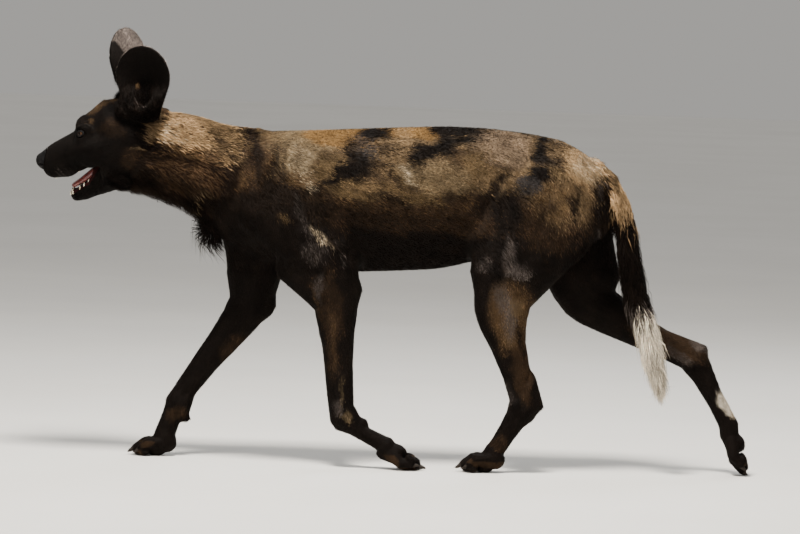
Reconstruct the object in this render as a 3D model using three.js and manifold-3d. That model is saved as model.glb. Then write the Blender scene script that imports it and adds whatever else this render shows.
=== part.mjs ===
import {
  BoxGeometry,
  BufferAttribute,
  BufferGeometry,
  CatmullRomCurve3,
  Color,
  Group,
  MathUtils,
  Matrix4,
  Mesh,
  MeshStandardMaterial,
  SphereGeometry,
  Vector3,
} from 'three';
import { edgeTable, triTable } from 'three/addons/objects/MarchingCubes.js';
import Module from 'manifold-3d';

const wasm = await Module();
wasm.setup();

// Driving dimensions in millimetres.
// The animal walks towards -X, its left side is -Y and up is +Z. The floor is z = 0.
const SHOULDER_HEIGHT = 650;
const BELLY_HEIGHT = 380;
const CHEST_HALF_WIDTH = 82;
const FOOT_TRACK = 51;
const EYE_RADIUS = 11;
const EYE_X = -619;
const EYE_Y = 30;
const EYE_Z = 635;
const EAR_HALF_WIDTH = 54;
const EAR_HALF_HEIGHT = 63;
const EAR_WALL = 5;
const HEAD_ROLL = 8;
const HEAD_PIVOT_Z = 640;
const TOE_LENGTH = 60;
const GAP = 0.3;
const FORELEG_CUT = 372;
const HINDLEG_CUT = 397;
const BRUSH_ROWS = 7;
const BRUSH_ROUND = 6;
const BRUSH_LOCK = 92;
const FRINGE_LOCK = 54;

const COLOURS = {
  coat: 0x3a2c22,
  tan: 0xa9825a,
  dark: 0x1c1613,
  ear: 0x2a1d19,
  nose: 0x17161a,
  eye: 0x2c160b,
  tongue: 0x8a3f3e,
  white: 0xd9cdbb,
};

// Small vector helpers for plain triples.
const mix = (a, b, t) => a + (b - a) * t;
const clamp01 = (t) => Math.min(1, Math.max(0, t));

// Rounded union of two distances over the width k.
function softMin(a, b, k) {
  const h = Math.max(k - Math.abs(a - b), 0) / k;
  return Math.min(a, b) - h * h * k * 0.25;
}

// Rounded intersection of two distances over the width k.
function softMax(a, b, k) {
  return -softMin(-a, -b, k);
}

// Distance to an ellipse-like section, given scaled offsets and radii.
function sectionDistance(u, v, ru, rv) {
  const k0 = Math.hypot(u / ru, v / rv);
  if (k0 < 1e-6) {
    return -Math.min(ru, rv);
  }
  const k1 = Math.hypot(u / (ru * ru), v / (rv * rv));
  return (k0 * (k0 - 1)) / k1;
}

// Rounded bar of muscle or bone between two points. Its depth lies in the body's long plane and its
// width lies across the body.
function bar(a, b, depths, widths, blend) {
  const A = new Vector3(...a);
  const B = new Vector3(...b);
  const along = B.clone().sub(A);
  const length2 = Math.max(along.lengthSq(), 1e-6);
  const axis = along.clone().normalize();
  const across = new Vector3(0, 1, 0);
  across.addScaledVector(axis, -across.dot(axis)).normalize();
  const centre = A.clone().add(B).multiplyScalar(0.5);
  const reach = along.length() / 2 + Math.max(...depths, ...widths);
  return {
    blend,
    centre,
    reach,
    distance(x, y, z) {
      const px = x - A.x;
      const py = y - A.y;
      const pz = z - A.z;
      const t = clamp01((px * along.x + py * along.y + pz * along.z) / length2);
      const qx = px - along.x * t;
      const qy = py - along.y * t;
      const qz = pz - along.z * t;
      const l = qx * across.x + qy * across.y + qz * across.z;
      const s = Math.sqrt(Math.max(qx * qx + qy * qy + qz * qz - l * l, 0));
      return sectionDistance(s, l, mix(depths[0], depths[1], t), mix(widths[0], widths[1], t));
    },
  };
}

// Ellipsoid with its long axis pitched nose-down by an angle in degrees.
function lump(c, radii, blend, pitch = 0) {
  const cos = Math.cos(MathUtils.degToRad(pitch));
  const sin = Math.sin(MathUtils.degToRad(pitch));
  return {
    blend,
    centre: new Vector3(...c),
    reach: Math.max(...radii),
    distance(x, y, z) {
      const dx = x - c[0];
      const dy = y - c[1];
      const dz = z - c[2];
      const u = dx * cos + dz * sin;
      const w = -dx * sin + dz * cos;
      const k0 = Math.hypot(u / radii[0], dy / radii[1], w / radii[2]);
      if (k0 < 1e-6) {
        return -Math.min(...radii);
      }
      const k1 = Math.hypot(u / radii[0] ** 2, dy / radii[1] ** 2, w / radii[2] ** 2);
      return (k0 * (k0 - 1)) / k1;
    },
  };
}

// The same form on both sides of the middle plane.
function both(make) {
  return [make(-1), make(1)];
}

// Smooth limb through a list of stations: each is [x, y, z, depth, width].
function run(stations, blend, steps = 3) {
  const last = stations.length - 1;
  const fine = [];
  for (let i = 0; i < last; i += 1) {
    const before = stations[Math.max(i - 1, 0)];
    const after = stations[Math.min(i + 2, last)];
    for (let k = 0; k < steps; k += 1) {
      const t = k / steps;
      fine.push(stations[i].map((v, n) => {
        const w = stations[i + 1][n];
        const a = (w - before[n]) * 0.5;
        const b = (after[n] - v) * 0.5;
        return v + a * t + (3 * (w - v) - 2 * a - b) * t * t + (2 * (v - w) + a + b) * t * t * t;
      }));
    }
  }
  fine.push(stations[last]);
  const bars = [];
  for (let i = 0; i + 1 < fine.length; i += 1) {
    const [p, q] = [fine[i], fine[i + 1]];
    bars.push(bar(p.slice(0, 3), q.slice(0, 3), [p[3], q[3]], [p[4], q[4]], blend));
  }
  const centre = new Vector3(...fine[0].slice(0, 3)).add(new Vector3(...fine.at(-1).slice(0, 3)));
  centre.multiplyScalar(0.5);
  const reach = Math.max(...bars.map((b) => b.centre.distanceTo(centre) + b.reach));
  const distance = (x, y, z) => {
    let d = 1e4;
    for (const b of bars) {
      const c = b.centre;
      if (Math.hypot(x - c.x, y - c.y, z - c.z) - b.reach < d) {
        d = Math.min(d, b.distance(x, y, z));
      }
    }
    return d;
  };
  return [{ blend, centre, reach, distance }];
}

// One distance function for a list of forms, taken out of the body where a form is marked as carved.
function gather(forms) {
  return (x, y, z) => {
    let d = 1e4;
    for (const form of forms) {
      const c = form.centre;
      const near = Math.hypot(x - c.x, y - c.y, z - c.z) - form.reach;
      if (form.carve) {
        if (near < form.blend - d + 2) {
          d = softMax(d, -form.distance(x, y, z), form.blend);
        }
      } else if (near < d + form.blend) {
        d = softMin(d, form.distance(x, y, z), form.blend);
      }
    }
    return d;
  };
}

function carved(form) {
  return { ...form, carve: true };
}

// Smooth curve through stations of one measurement along the body.
function curve(xs, values) {
  return (x) => {
    if (x <= xs[0]) {
      return values[0];
    }
    const last = xs.length - 1;
    if (x >= xs[last]) {
      return values[last];
    }
    let i = 0;
    while (x > xs[i + 1]) {
      i += 1;
    }
    const slope = (j) => {
      const lo = Math.max(j - 1, 0);
      const hi = Math.min(j + 1, last);
      return (values[hi] - values[lo]) / (xs[hi] - xs[lo]);
    };
    const h = xs[i + 1] - xs[i];
    const t = (x - xs[i]) / h;
    const t2 = t * t;
    const t3 = t2 * t;
    return (
      (2 * t3 - 3 * t2 + 1) * values[i] +
      (t3 - 2 * t2 + t) * h * slope(i) +
      (3 * t2 - 2 * t3) * values[i + 1] +
      (t3 - t2) * h * slope(i + 1)
    );
  };
}

// The barrel: back line, belly line and half width from the fore chest to the rump, with the
// narrower side of each section at the keel in front and at the back behind.
const BARREL = [
  { x: -362, top: 618, belly: 492, half: 26, keel: 0.1 },
  { x: -340, top: 645, belly: 452, half: 48, keel: 0.15 },
  { x: -300, top: SHOULDER_HEIGHT + 4, belly: 420, half: 62, keel: 0.2 },
  { x: -250, top: SHOULDER_HEIGHT, belly: 395, half: 72, keel: 0.22 },
  { x: -200, top: SHOULDER_HEIGHT + 3, belly: 382, half: 78, keel: 0.2 },
  { x: -140, top: SHOULDER_HEIGHT + 6, belly: 376, half: 82, keel: 0.16 },
  { x: -70, top: SHOULDER_HEIGHT + 11, belly: BELLY_HEIGHT - 3, half: CHEST_HALF_WIDTH, keel: 0.1 },
  { x: 0, top: SHOULDER_HEIGHT + 16, belly: BELLY_HEIGHT + 1, half: CHEST_HALF_WIDTH - 2, keel: 0.04 },
  { x: 60, top: SHOULDER_HEIGHT + 21, belly: BELLY_HEIGHT + 5, half: 76, keel: 0 },
  { x: 110, top: SHOULDER_HEIGHT + 22, belly: BELLY_HEIGHT + 14, half: 69, keel: -0.02 },
  { x: 155, top: SHOULDER_HEIGHT + 21, belly: 408, half: 64, keel: -0.02 },
  { x: 210, top: SHOULDER_HEIGHT + 17, belly: 432, half: 60, keel: 0 },
  { x: 270, top: SHOULDER_HEIGHT + 10, belly: 446, half: 58, keel: 0.05 },
  { x: 320, top: SHOULDER_HEIGHT - 2, belly: 450, half: 55, keel: 0.05 },
  { x: 360, top: 626, belly: 458, half: 46, keel: 0 },
  { x: 390, top: 603, belly: 476, half: 33, keel: 0 },
  { x: 406, top: 582, belly: 498, half: 19, keel: 0 },
];
const along = BARREL.map((s) => s.x);
const topAt = curve(along, BARREL.map((s) => s.top));
const bellyAt = curve(along, BARREL.map((s) => s.belly));
const halfAt = curve(along, BARREL.map((s) => s.half));
const keelAt = curve(along, BARREL.map((s) => s.keel));

function barrel() {
  const first = along[0];
  const last = along[along.length - 1];
  return {
    blend: 20,
    centre: new Vector3((first + last) / 2, 0, 530),
    reach: 450,
    distance(x, y, z) {
      const s = Math.min(Math.max(x, first), last);
      const top = topAt(s);
      const belly = bellyAt(s);
      const h = (top - belly) / 2;
      const v = z - (top + belly) / 2;
      const w = halfAt(s) * (1 + keelAt(s) * Math.max(-1, Math.min(1, v / h)));
      const d = sectionDistance(v, y, h, w);
      const beyond = Math.abs(x - s);
      return beyond > 0 ? Math.hypot(beyond, Math.max(d, 0)) + Math.min(d, 0) * 0 : d;
    },
  };
}

// Trunk, shoulders, haunches and neck.
function trunkForms() {
  const forms = [barrel()];
  forms.push(lump([-326, 0, 496], [56, 52.2, 66], 30, -20));
  // Shoulder blades, upper arms and the point of each shoulder.
  forms.push(...both((s) => bar([-222, s * 38.3, 594], [-268, s * 57.4, 505], [44, 52], [24, 30], 30)));
  forms.push(bar([-252, -59.2, 478], [-116, -56.5, 378], [50, 42], [32, 30], 22));
  forms.push(bar([-195, -53.9, 520], [-122, -55.7, 400], [48, 34], [26, 26], 24));
  forms.push(bar([-312, 57.4, 482], [-280, 55.7, 350], [46, 46], [32, 31], 22));
  forms.push(bar([-250, 53.9, 510], [-262, 55.7, 380], [50, 38], [28, 27], 24));
  // Haunches: hip, thigh and hamstrings. The left leg stands under the belly, the right one is behind.
  forms.push(...both((s) => lump([322, s * 38.3, 560], [64, 34, 62], 30, 20)));
  forms.push(bar([292, -43.5, 520], [214, -47, 392], [84, 66], [42, 40], 24));
  forms.push(bar([352, -40, 500], [262, -47, 392], [54, 46], [36, 34], 22));
  forms.push(bar([312, 43.5, 520], [352, 48.7, 380], [78, 58], [42, 40], 24));
  forms.push(bar([358, 40, 505], [392, 48.7, 388], [54, 46], [36, 34], 22));
  // Fold of skin from the flank to each knee.
  forms.push(bar([176, -45.2, 470], [170, -48.7, 400], [30, 24], [20, 20], 24));
  forms.push(bar([220, 43.5, 480], [300, 48.7, 410], [28, 20], [20, 20], 24));
  // Neck from the shoulders to the back of the skull, with its throat.
  forms.push(...run(
    [
      [-520, 0, 616, 78, 56],
      [-470, 0, 606, 80, 57],
      [-420, 0, 596, 84, 60],
      [-370, 0, 576, 88, 66],
      [-320, 0, 560, 92, 72],
    ],
    22,
  ));
  forms.push(bar([-535, 0, 566], [-480, 0, 560], [38, 36], [38, 38], 20));
  return forms;
}

// Legs below the trunk: stations run down the limb.
function foreLegForms() {
  const y = FOOT_TRACK;
  const left = run(
    [
      [-128, -56.5, 385, 50, 31],
      [-118, -55.7, 345, 47, 30],
      [-114, -53.9, 305, 41, 27],
      [-110, -53.1, 240, 32, 22],
      [-104, -52.2, 165, 28, 18.5],
      [-100, -52.2, 120, 27, 19.5],
      [-94, -51.3, 100, 27.5, 21],
    ],
    12,
  );
  left.push(lump([-80, -54.8, 343], [14, 13, 22], 10, -10));
  left.push(bar([-205, -52.2, 388], [-158, -54.8, 340], [34, 26], [24, 24], 14));
  left.push(...run([[-90, -51.3, 94, 25, 20], [-56, -50.5, 70, 16, 17], [-10, -y, 46, 18, 19]], 12));
  left.push(lump([-56, -50.5, 90], [10, 9, 10], 8));
  const right = run(
    [
      [-284, 56.5, 385, 50, 32],
      [-283, 55.7, 345, 47, 31],
      [-286, 53.9, 308, 43, 29],
      [-318, 53.1, 256, 35, 24],
      [-372, 52.2, 184, 26, 19],
      [-405, 51.3, 136, 23.5, 18.5],
      [-419, 51.3, 106, 25, 20.5],
    ],
    12,
  );
  right.push(lump([-253, 54.8, 300], [17, 14, 24], 12, -30));
  right.push(...run([[-421, 51.3, 102, 24, 20], [-434, 50.5, 74, 21, 18], [-446, y, 40, 21, 20]], 12));
  right.push(lump([-404, 51.3, 76], [10, 9, 10], 8));
  return { left, right };
}

function hindLegForms() {
  const left = run(
    [
      [222, -47, 395, 76, 40],
      [209, -47.9, 350, 60, 35],
      [206, -48.7, 312, 52, 31],
      [221, -48.7, 250, 36, 24],
      [240, -48.7, 192, 29, 18],
      [252, -47.9, 152, 28, 17.5],
      [256, -47.9, 126, 27, 19],
    ],
    12,
  );
  left.push(bar([262, -47.9, 196], [281, -47.9, 134], [13, 14], [8, 12], 10));
  left.push(...run([[248, -47.9, 118, 25, 19], [222, -47, 75, 19.5, 16.5], [198, -46.1, 36, 19, 18.5]], 12));
  const right = run(
    [
      [360, 48.7, 385, 60, 40],
      [366, 49.6, 345, 50, 36],
      [412, 51.3, 314, 44, 31],
      [476, 53.1, 281, 35, 25],
      [536, 53.1, 252, 30, 20],
      [578, 53.1, 232, 28.5, 19],
      [592, 53.1, 220, 27, 19],
    ],
    12,
  );
  right.push(bar([545, 53.1, 268], [603, 53.1, 245], [12, 13], [8, 12], 10));
  right.push(...run([[596, 53.1, 212, 25, 19], [629, 53.1, 158, 20, 16.5], [662, 53.1, 98, 19.5, 18.5]], 12));
  return { left, right };
}

// A paw of four toes with their pads and claws. It has its own frame: forward runs to the toe tips
// and sole points from the back of the foot to its pads.
function pawForms({ at, forward, sole, toe = TOE_LENGTH, spread = 1 }) {
  const f = new Vector3(forward[0], 0, forward[1]).normalize();
  const s = new Vector3(sole[0], 0, sole[1]);
  s.addScaledVector(f, -s.dot(f)).normalize();
  const place = (u, v, w) => [
    at[0] + f.x * u + s.x * w,
    at[1] + v,
    at[2] + f.z * u + s.z * w,
  ];
  const pitch = MathUtils.radToDeg(Math.atan2(f.z, f.x));
  const forms = [];
  forms.push(bar(place(-8, 0, -2), place(18, 0, 0), [19, 15], [19, 22], 8));
  forms.push(lump(place(14, 0, 14), [17, 18, 10], 5, pitch));
  const toes = [
    { across: -21, reach: 0.8 },
    { across: -7.6, reach: 1 },
    { across: 7.6, reach: 1 },
    { across: 21, reach: 0.8 },
  ];
  for (const { across, reach } of toes) {
    const y = across * spread;
    const end = toe * reach;
    forms.push(bar(place(6, y * 0.7, -2), place(end * 0.58, y, -5), [12, 10.5], [8.5, 8], 4));
    forms.push(bar(place(end * 0.58, y, -5), place(end * 0.88, y, 4), [10.5, 8.5], [8, 7.2], 2.5));
    forms.push(lump(place(end * 0.78, y, 13), [12, 7.6, 7], 2.5, pitch));
    forms.push(bar(place(end * 0.93, y, 2), place(end + 10, y, 11), [4, 1.6], [3, 1.4], 1.5));
  }
  return forms;
}

// Head in its own upright frame, before it is rolled.
function headForms() {
  const forms = [];
  // Skull, forehead and the back of the head.
  forms.push(lump([-545, 0, 638], [62, 57, 62], 14, 15));
  forms.push(bar([-612, 0, 644], [-575, 0, 652], [24, 42], [27, 46], 16));
  forms.push(bar([-540, 0, 612], [-500, 0, 615], [62, 66], [56, 54], 20));
  // Muzzle from the nose to the stop, with the flews of the upper lip.
  forms.push(...run(
    [
      [-693, 0, 573, 16.5, 17],
      [-667, 0, 581, 30, 25.5],
      [-638, 0, 592, 36, 32],
      [-606, 0, 608, 38, 44],
    ],
    8,
  ));
  forms.push(...both((s) => lump([-673, s * 10, 557], [21, 13.5, 15.5], 8, 0)));
  forms.push(...both((s) => lump([-650, s * 15, 561], [22, 14, 16.5], 8, 0)));
  forms.push(...both((s) => lump([-624, s * 22, 573], [24, 13, 13.5], 8, 28)));
  forms.push(...both((s) => lump([-602, s * 33, 587], [22, 14, 14], 8, 24)));
  // Nose leather and its wings.
  forms.push(lump([-699, 0, 575], [11.5, 14, 13], 4, 10));
  forms.push(...both((s) => lump([-700, s * 8.5, 572], [9, 7.5, 8.5], 3, 0)));
  // Cheek bones, chewing muscles and the angle of the jaw.
  forms.push(...both((s) => lump([-600, s * 38, 612], [34, 20, 17], 12, 18)));
  forms.push(...both((s) => lump([-568, s * 42, 592], [38, 23, 40], 16, 0)));
  forms.push(...both((s) => lump([-548, s * 36, 560], [30, 22, 28], 14, 0)));
  forms.push(bar([-572, 0, 566], [-520, 0, 574], [36, 44], [36, 42], 16));
  forms.push(...both((s) => lump([-624, s * 31, 598], [26, 13, 17], 12, 20)));
  // Brow, lids and cheek below the eye.
  forms.push(...both((s) => lump([-605, s * 29, 632], [25, 16, 22], 10, 30)));
  forms.push(...both((s) => bar([-627, s * 25, 645.5], [-608, s * 38, 644.5], [4, 4.5], [4, 4], 6)));
  forms.push(...both((s) => bar([-629, s * 28, 625], [-606, s * 38, 629], [4, 4.5], [3.5, 4], 6)));
  // Eye sockets and nostrils.
  forms.push(...both((s) => carved(lump([EYE_X - 5, s * (EYE_Y + 9), EYE_Z - 0.5], [12, 9, 6.6], 3, 20))));
  forms.push(...both((s) => carved(lump([-708.5, s * 6.4, 571.5], [5, 3.1, 3.6], 1.5, 20))));
  forms.push(...both((s) => carved(lump([-702, s * 14.2, 568.5], [7, 2.6, 2], 1.5, 12))));
  forms.push(carved(lump([-708, 0, 561], [7, 1.3, 10], 1.5, -20)));
  return forms;
}

// Lower jaw, which hangs open below the muzzle.
function jawForms() {
  const forms = run(
    [
      [-630, 0, 507, 11.5, 13],
      [-614, 0, 514, 15.5, 17],
      [-596, 0, 527, 20.5, 25],
      [-566, 0, 553, 36, 38],
    ],
    8,
  );
  // Lip along the tooth row on each side.
  forms.push(...both((s) => bar([-634, s * 9, 513], [-600, s * 21, 536], [5, 6], [4.5, 5], 4)));
  forms.push(...both((s) => bar([-600, s * 21, 536], [-578, s * 33, 565], [6, 9], [5, 8], 6)));
  // Bed of the tongue.
  forms.push(carved(bar([-632, 0, 527], [-596, 0, 553], [8, 10], [8, 14], 4)));
  return forms;
}

// Tooth as a rounded point that stands up from the gum.
function tooth(x, y, z, height, radius) {
  const foot = [x, y, z - 4];
  const tip = [x - height * 0.28, y * 1.02, z + height];
  return bar(foot, tip, [radius, radius * 0.32], [radius * 0.8, radius * 0.3], 0.8);
}

function lowerTeeth() {
  const forms = [];
  for (const s of [-1, 1]) {
    forms.push(tooth(-641, s * 2.2, 512, 6, 2.1));
    forms.push(tooth(-640.5, s * 6, 512, 6.5, 2.3));
    forms.push(tooth(-636, s * 10.5, 516, 12, 3.6));
    forms.push(tooth(-622, s * 14.2, 525, 6, 3.6));
    forms.push(tooth(-613.5, s * 16.6, 531, 7.5, 4.2));
    forms.push(tooth(-604.5, s * 19.2, 538, 8.5, 4.6));
    forms.push(tooth(-594.5, s * 22.5, 545, 9, 5.4));
  }
  return forms;
}

function tongueForms() {
  return [
    ...run(
      [
        [-636, 0, 527, 4.5, 9.5],
        [-620, 0, 537, 6.5, 12.5],
        [-600, 0, 552, 9, 14],
        [-586, 0, 562, 10, 14],
      ],
      4,
    ),
    carved(bar([-640, 0, 536.5], [-600, 0, 565], [3.4, 3.4], [2, 2], 3)),
  ];
}

// Large round ear: a thin bowl with a rolled rim on a furry root. The ear's own frame has a across
// the opening, b up the ear and c out of the opening.
function earField({ centre, up, facing, root }) {
  const b = new Vector3(...up).normalize();
  const c = new Vector3(...facing);
  c.addScaledVector(b, -c.dot(b)).normalize();
  const a = new Vector3().crossVectors(b, c);
  const frame = new Matrix4().makeBasis(a, b, c).setPosition(...centre);
  const inverse = frame.clone().invert();
  const p = new Vector3();
  const place = (u, v, w) => new Vector3(u, v, w).applyMatrix4(frame).toArray();
  const stem = [
    bar(place(0, -40, -17), root, [22, 28], [19, 21], 10),
    bar(place(26, -38, -10), [root[0] + 24, root[1], root[2]], [14, 20], [12, 18], 12),
    bar(place(-26, -38, -10), [root[0] - 24, root[1], root[2]], [14, 20], [12, 18], 12),
  ];
  const hollow = carved(bar(place(0, -4, 6), place(0, -58, -10), [30, 12], [28, 11], 6));
  const base = gather(stem);
  const bowl = (x, y, z) => {
    p.set(x, y, z).applyMatrix4(inverse);
    const lower = clamp01(-p.y / EAR_HALF_HEIGHT);
    const wide = EAR_HALF_WIDTH * (1 - 0.06 * lower);
    const rho = Math.hypot(p.x / wide, p.y / EAR_HALF_HEIGHT);
    const deep = 25 + 12 * lower;
    const skin = -deep * (1 - rho * rho) + 3 * Math.sin(Math.min(rho, 1) * Math.PI);
    const slope = Math.hypot(1, (2 * deep * rho) / EAR_HALF_WIDTH);
    const wall = Math.abs(p.z - skin) / slope - EAR_WALL * (0.5 + 0.25 * (1 - Math.min(rho, 1)));
    return softMax(wall, (rho - 1) * EAR_HALF_WIDTH, 3);
  };
  return (x, y, z) => {
    let d = softMin(bowl(x, y, z), base(x, y, z), 10);
    d = softMax(d, -hollow.distance(x, y, z), 5);
    return d;
  };
}

// Turns a head-frame point about the long axis of the body.
const rollCos = Math.cos(MathUtils.degToRad(HEAD_ROLL));
const rollSin = Math.sin(MathUtils.degToRad(HEAD_ROLL));

function unrolled(field) {
  return (x, y, z) => {
    const h = z - HEAD_PIVOT_Z;
    return field(x, y * rollCos + h * rollSin, -y * rollSin + h * rollCos + HEAD_PIVOT_Z);
  };
}

function rolled(x, y, z) {
  const h = z - HEAD_PIVOT_Z;
  return [x, y * rollCos - h * rollSin, y * rollSin + h * rollCos + HEAD_PIVOT_Z];
}

// Closed triangle surface of a distance field inside a box, as merged points and faces.
function polygonise(field, box, cell) {
  const [lo, hi] = box;
  const n = [0, 1, 2].map((i) => Math.ceil((hi[i] - lo[i]) / cell) + 1);
  const sx = 1;
  const sy = n[0];
  const sz = n[0] * n[1];
  const values = new Float32Array(n[0] * n[1] * n[2]);
  for (let k = 0; k < n[2]; k += 1) {
    for (let j = 0; j < n[1]; j += 1) {
      for (let i = 0; i < n[0]; i += 1) {
        const edge = !i || !j || !k || i === n[0] - 1 || j === n[1] - 1 || k === n[2] - 1;
        let v = field(lo[0] + i * cell, lo[1] + j * cell, lo[2] + k * cell);
        if (edge) {
          v = Math.max(v, cell * 0.4);
        }
        values[i * sx + j * sy + k * sz] = Math.abs(v) < 1e-3 ? 1e-3 : v;
      }
    }
  }
  const corner = [0, sx, sx + sy, sy, sz, sz + sx, sz + sx + sy, sz + sy];
  const ends = [
    [0, 1], [1, 2], [3, 2], [0, 3], [4, 5], [5, 6], [7, 6], [4, 7], [0, 4], [1, 5], [2, 6], [3, 7],
  ];
  const axis = [0, 1, 0, 1, 0, 1, 0, 1, 2, 2, 2, 2];
  const found = new Map();
  const points = [];
  const faces = [];
  for (let k = 0; k < n[2] - 1; k += 1) {
    for (let j = 0; j < n[1] - 1; j += 1) {
      for (let i = 0; i < n[0] - 1; i += 1) {
        const at = i * sx + j * sy + k * sz;
        let which = 0;
        for (let c = 0; c < 8; c += 1) {
          if (values[at + corner[c]] < 0) {
            which |= 1 << c;
          }
        }
        if (edgeTable[which] === 0) {
          continue;
        }
        const ids = [];
        for (let e = 0; e < 12; e += 1) {
          if (!(edgeTable[which] & (1 << e))) {
            continue;
          }
          const p = at + corner[ends[e][0]];
          const q = at + corner[ends[e][1]];
          const key = p * 3 + axis[e];
          if (!found.has(key)) {
            const t = values[p] / (values[p] - values[q]);
            const base = [p % n[0], Math.floor(p / n[0]) % n[1], Math.floor(p / sz)];
            base[axis[e]] += Math.min(0.98, Math.max(0.02, t));
            found.set(key, points.length / 3);
            points.push(lo[0] + base[0] * cell, lo[1] + base[1] * cell, lo[2] + base[2] * cell);
          }
          ids[e] = found.get(key);
        }
        for (let t = which * 16; triTable[t] !== -1; t += 3) {
          faces.push(ids[triTable[t]], ids[triTable[t + 1]], ids[triTable[t + 2]]);
        }
      }
    }
  }
  return { points, faces };
}

// Twice the signed volume decides which way the faces point.
function facingOut({ points, faces }) {
  let volume = 0;
  for (let f = 0; f < faces.length; f += 3) {
    const [a, b, c] = [faces[f] * 3, faces[f + 1] * 3, faces[f + 2] * 3];
    volume +=
      points[a] * (points[b + 1] * points[c + 2] - points[b + 2] * points[c + 1]) -
      points[a + 1] * (points[b] * points[c + 2] - points[b + 2] * points[c]) +
      points[a + 2] * (points[b] * points[c + 1] - points[b + 1] * points[c]);
  }
  if (volume < 0) {
    for (let f = 0; f < faces.length; f += 3) {
      [faces[f + 1], faces[f + 2]] = [faces[f + 2], faces[f + 1]];
    }
  }
  return { points, faces };
}

// Smallest-first queue for edge collapses.
class Queue {
  constructor() {
    this.items = [];
  }

  push(item) {
    const { items } = this;
    let i = items.length;
    items.push(item);
    while (i > 0) {
      const up = (i - 1) >> 1;
      if (items[up].cost <= item.cost) {
        break;
      }
      items[i] = items[up];
      i = up;
    }
    items[i] = item;
  }

  pop() {
    const { items } = this;
    const first = items[0];
    const last = items.pop();
    if (items.length > 0) {
      let i = 0;
      for (;;) {
        let next = 2 * i + 1;
        if (next >= items.length) {
          break;
        }
        if (next + 1 < items.length && items[next + 1].cost < items[next].cost) {
          next += 1;
        }
        if (items[next].cost >= last.cost) {
          break;
        }
        items[i] = items[next];
        i = next;
      }
      items[i] = last;
    }
    return first;
  }
}

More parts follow.
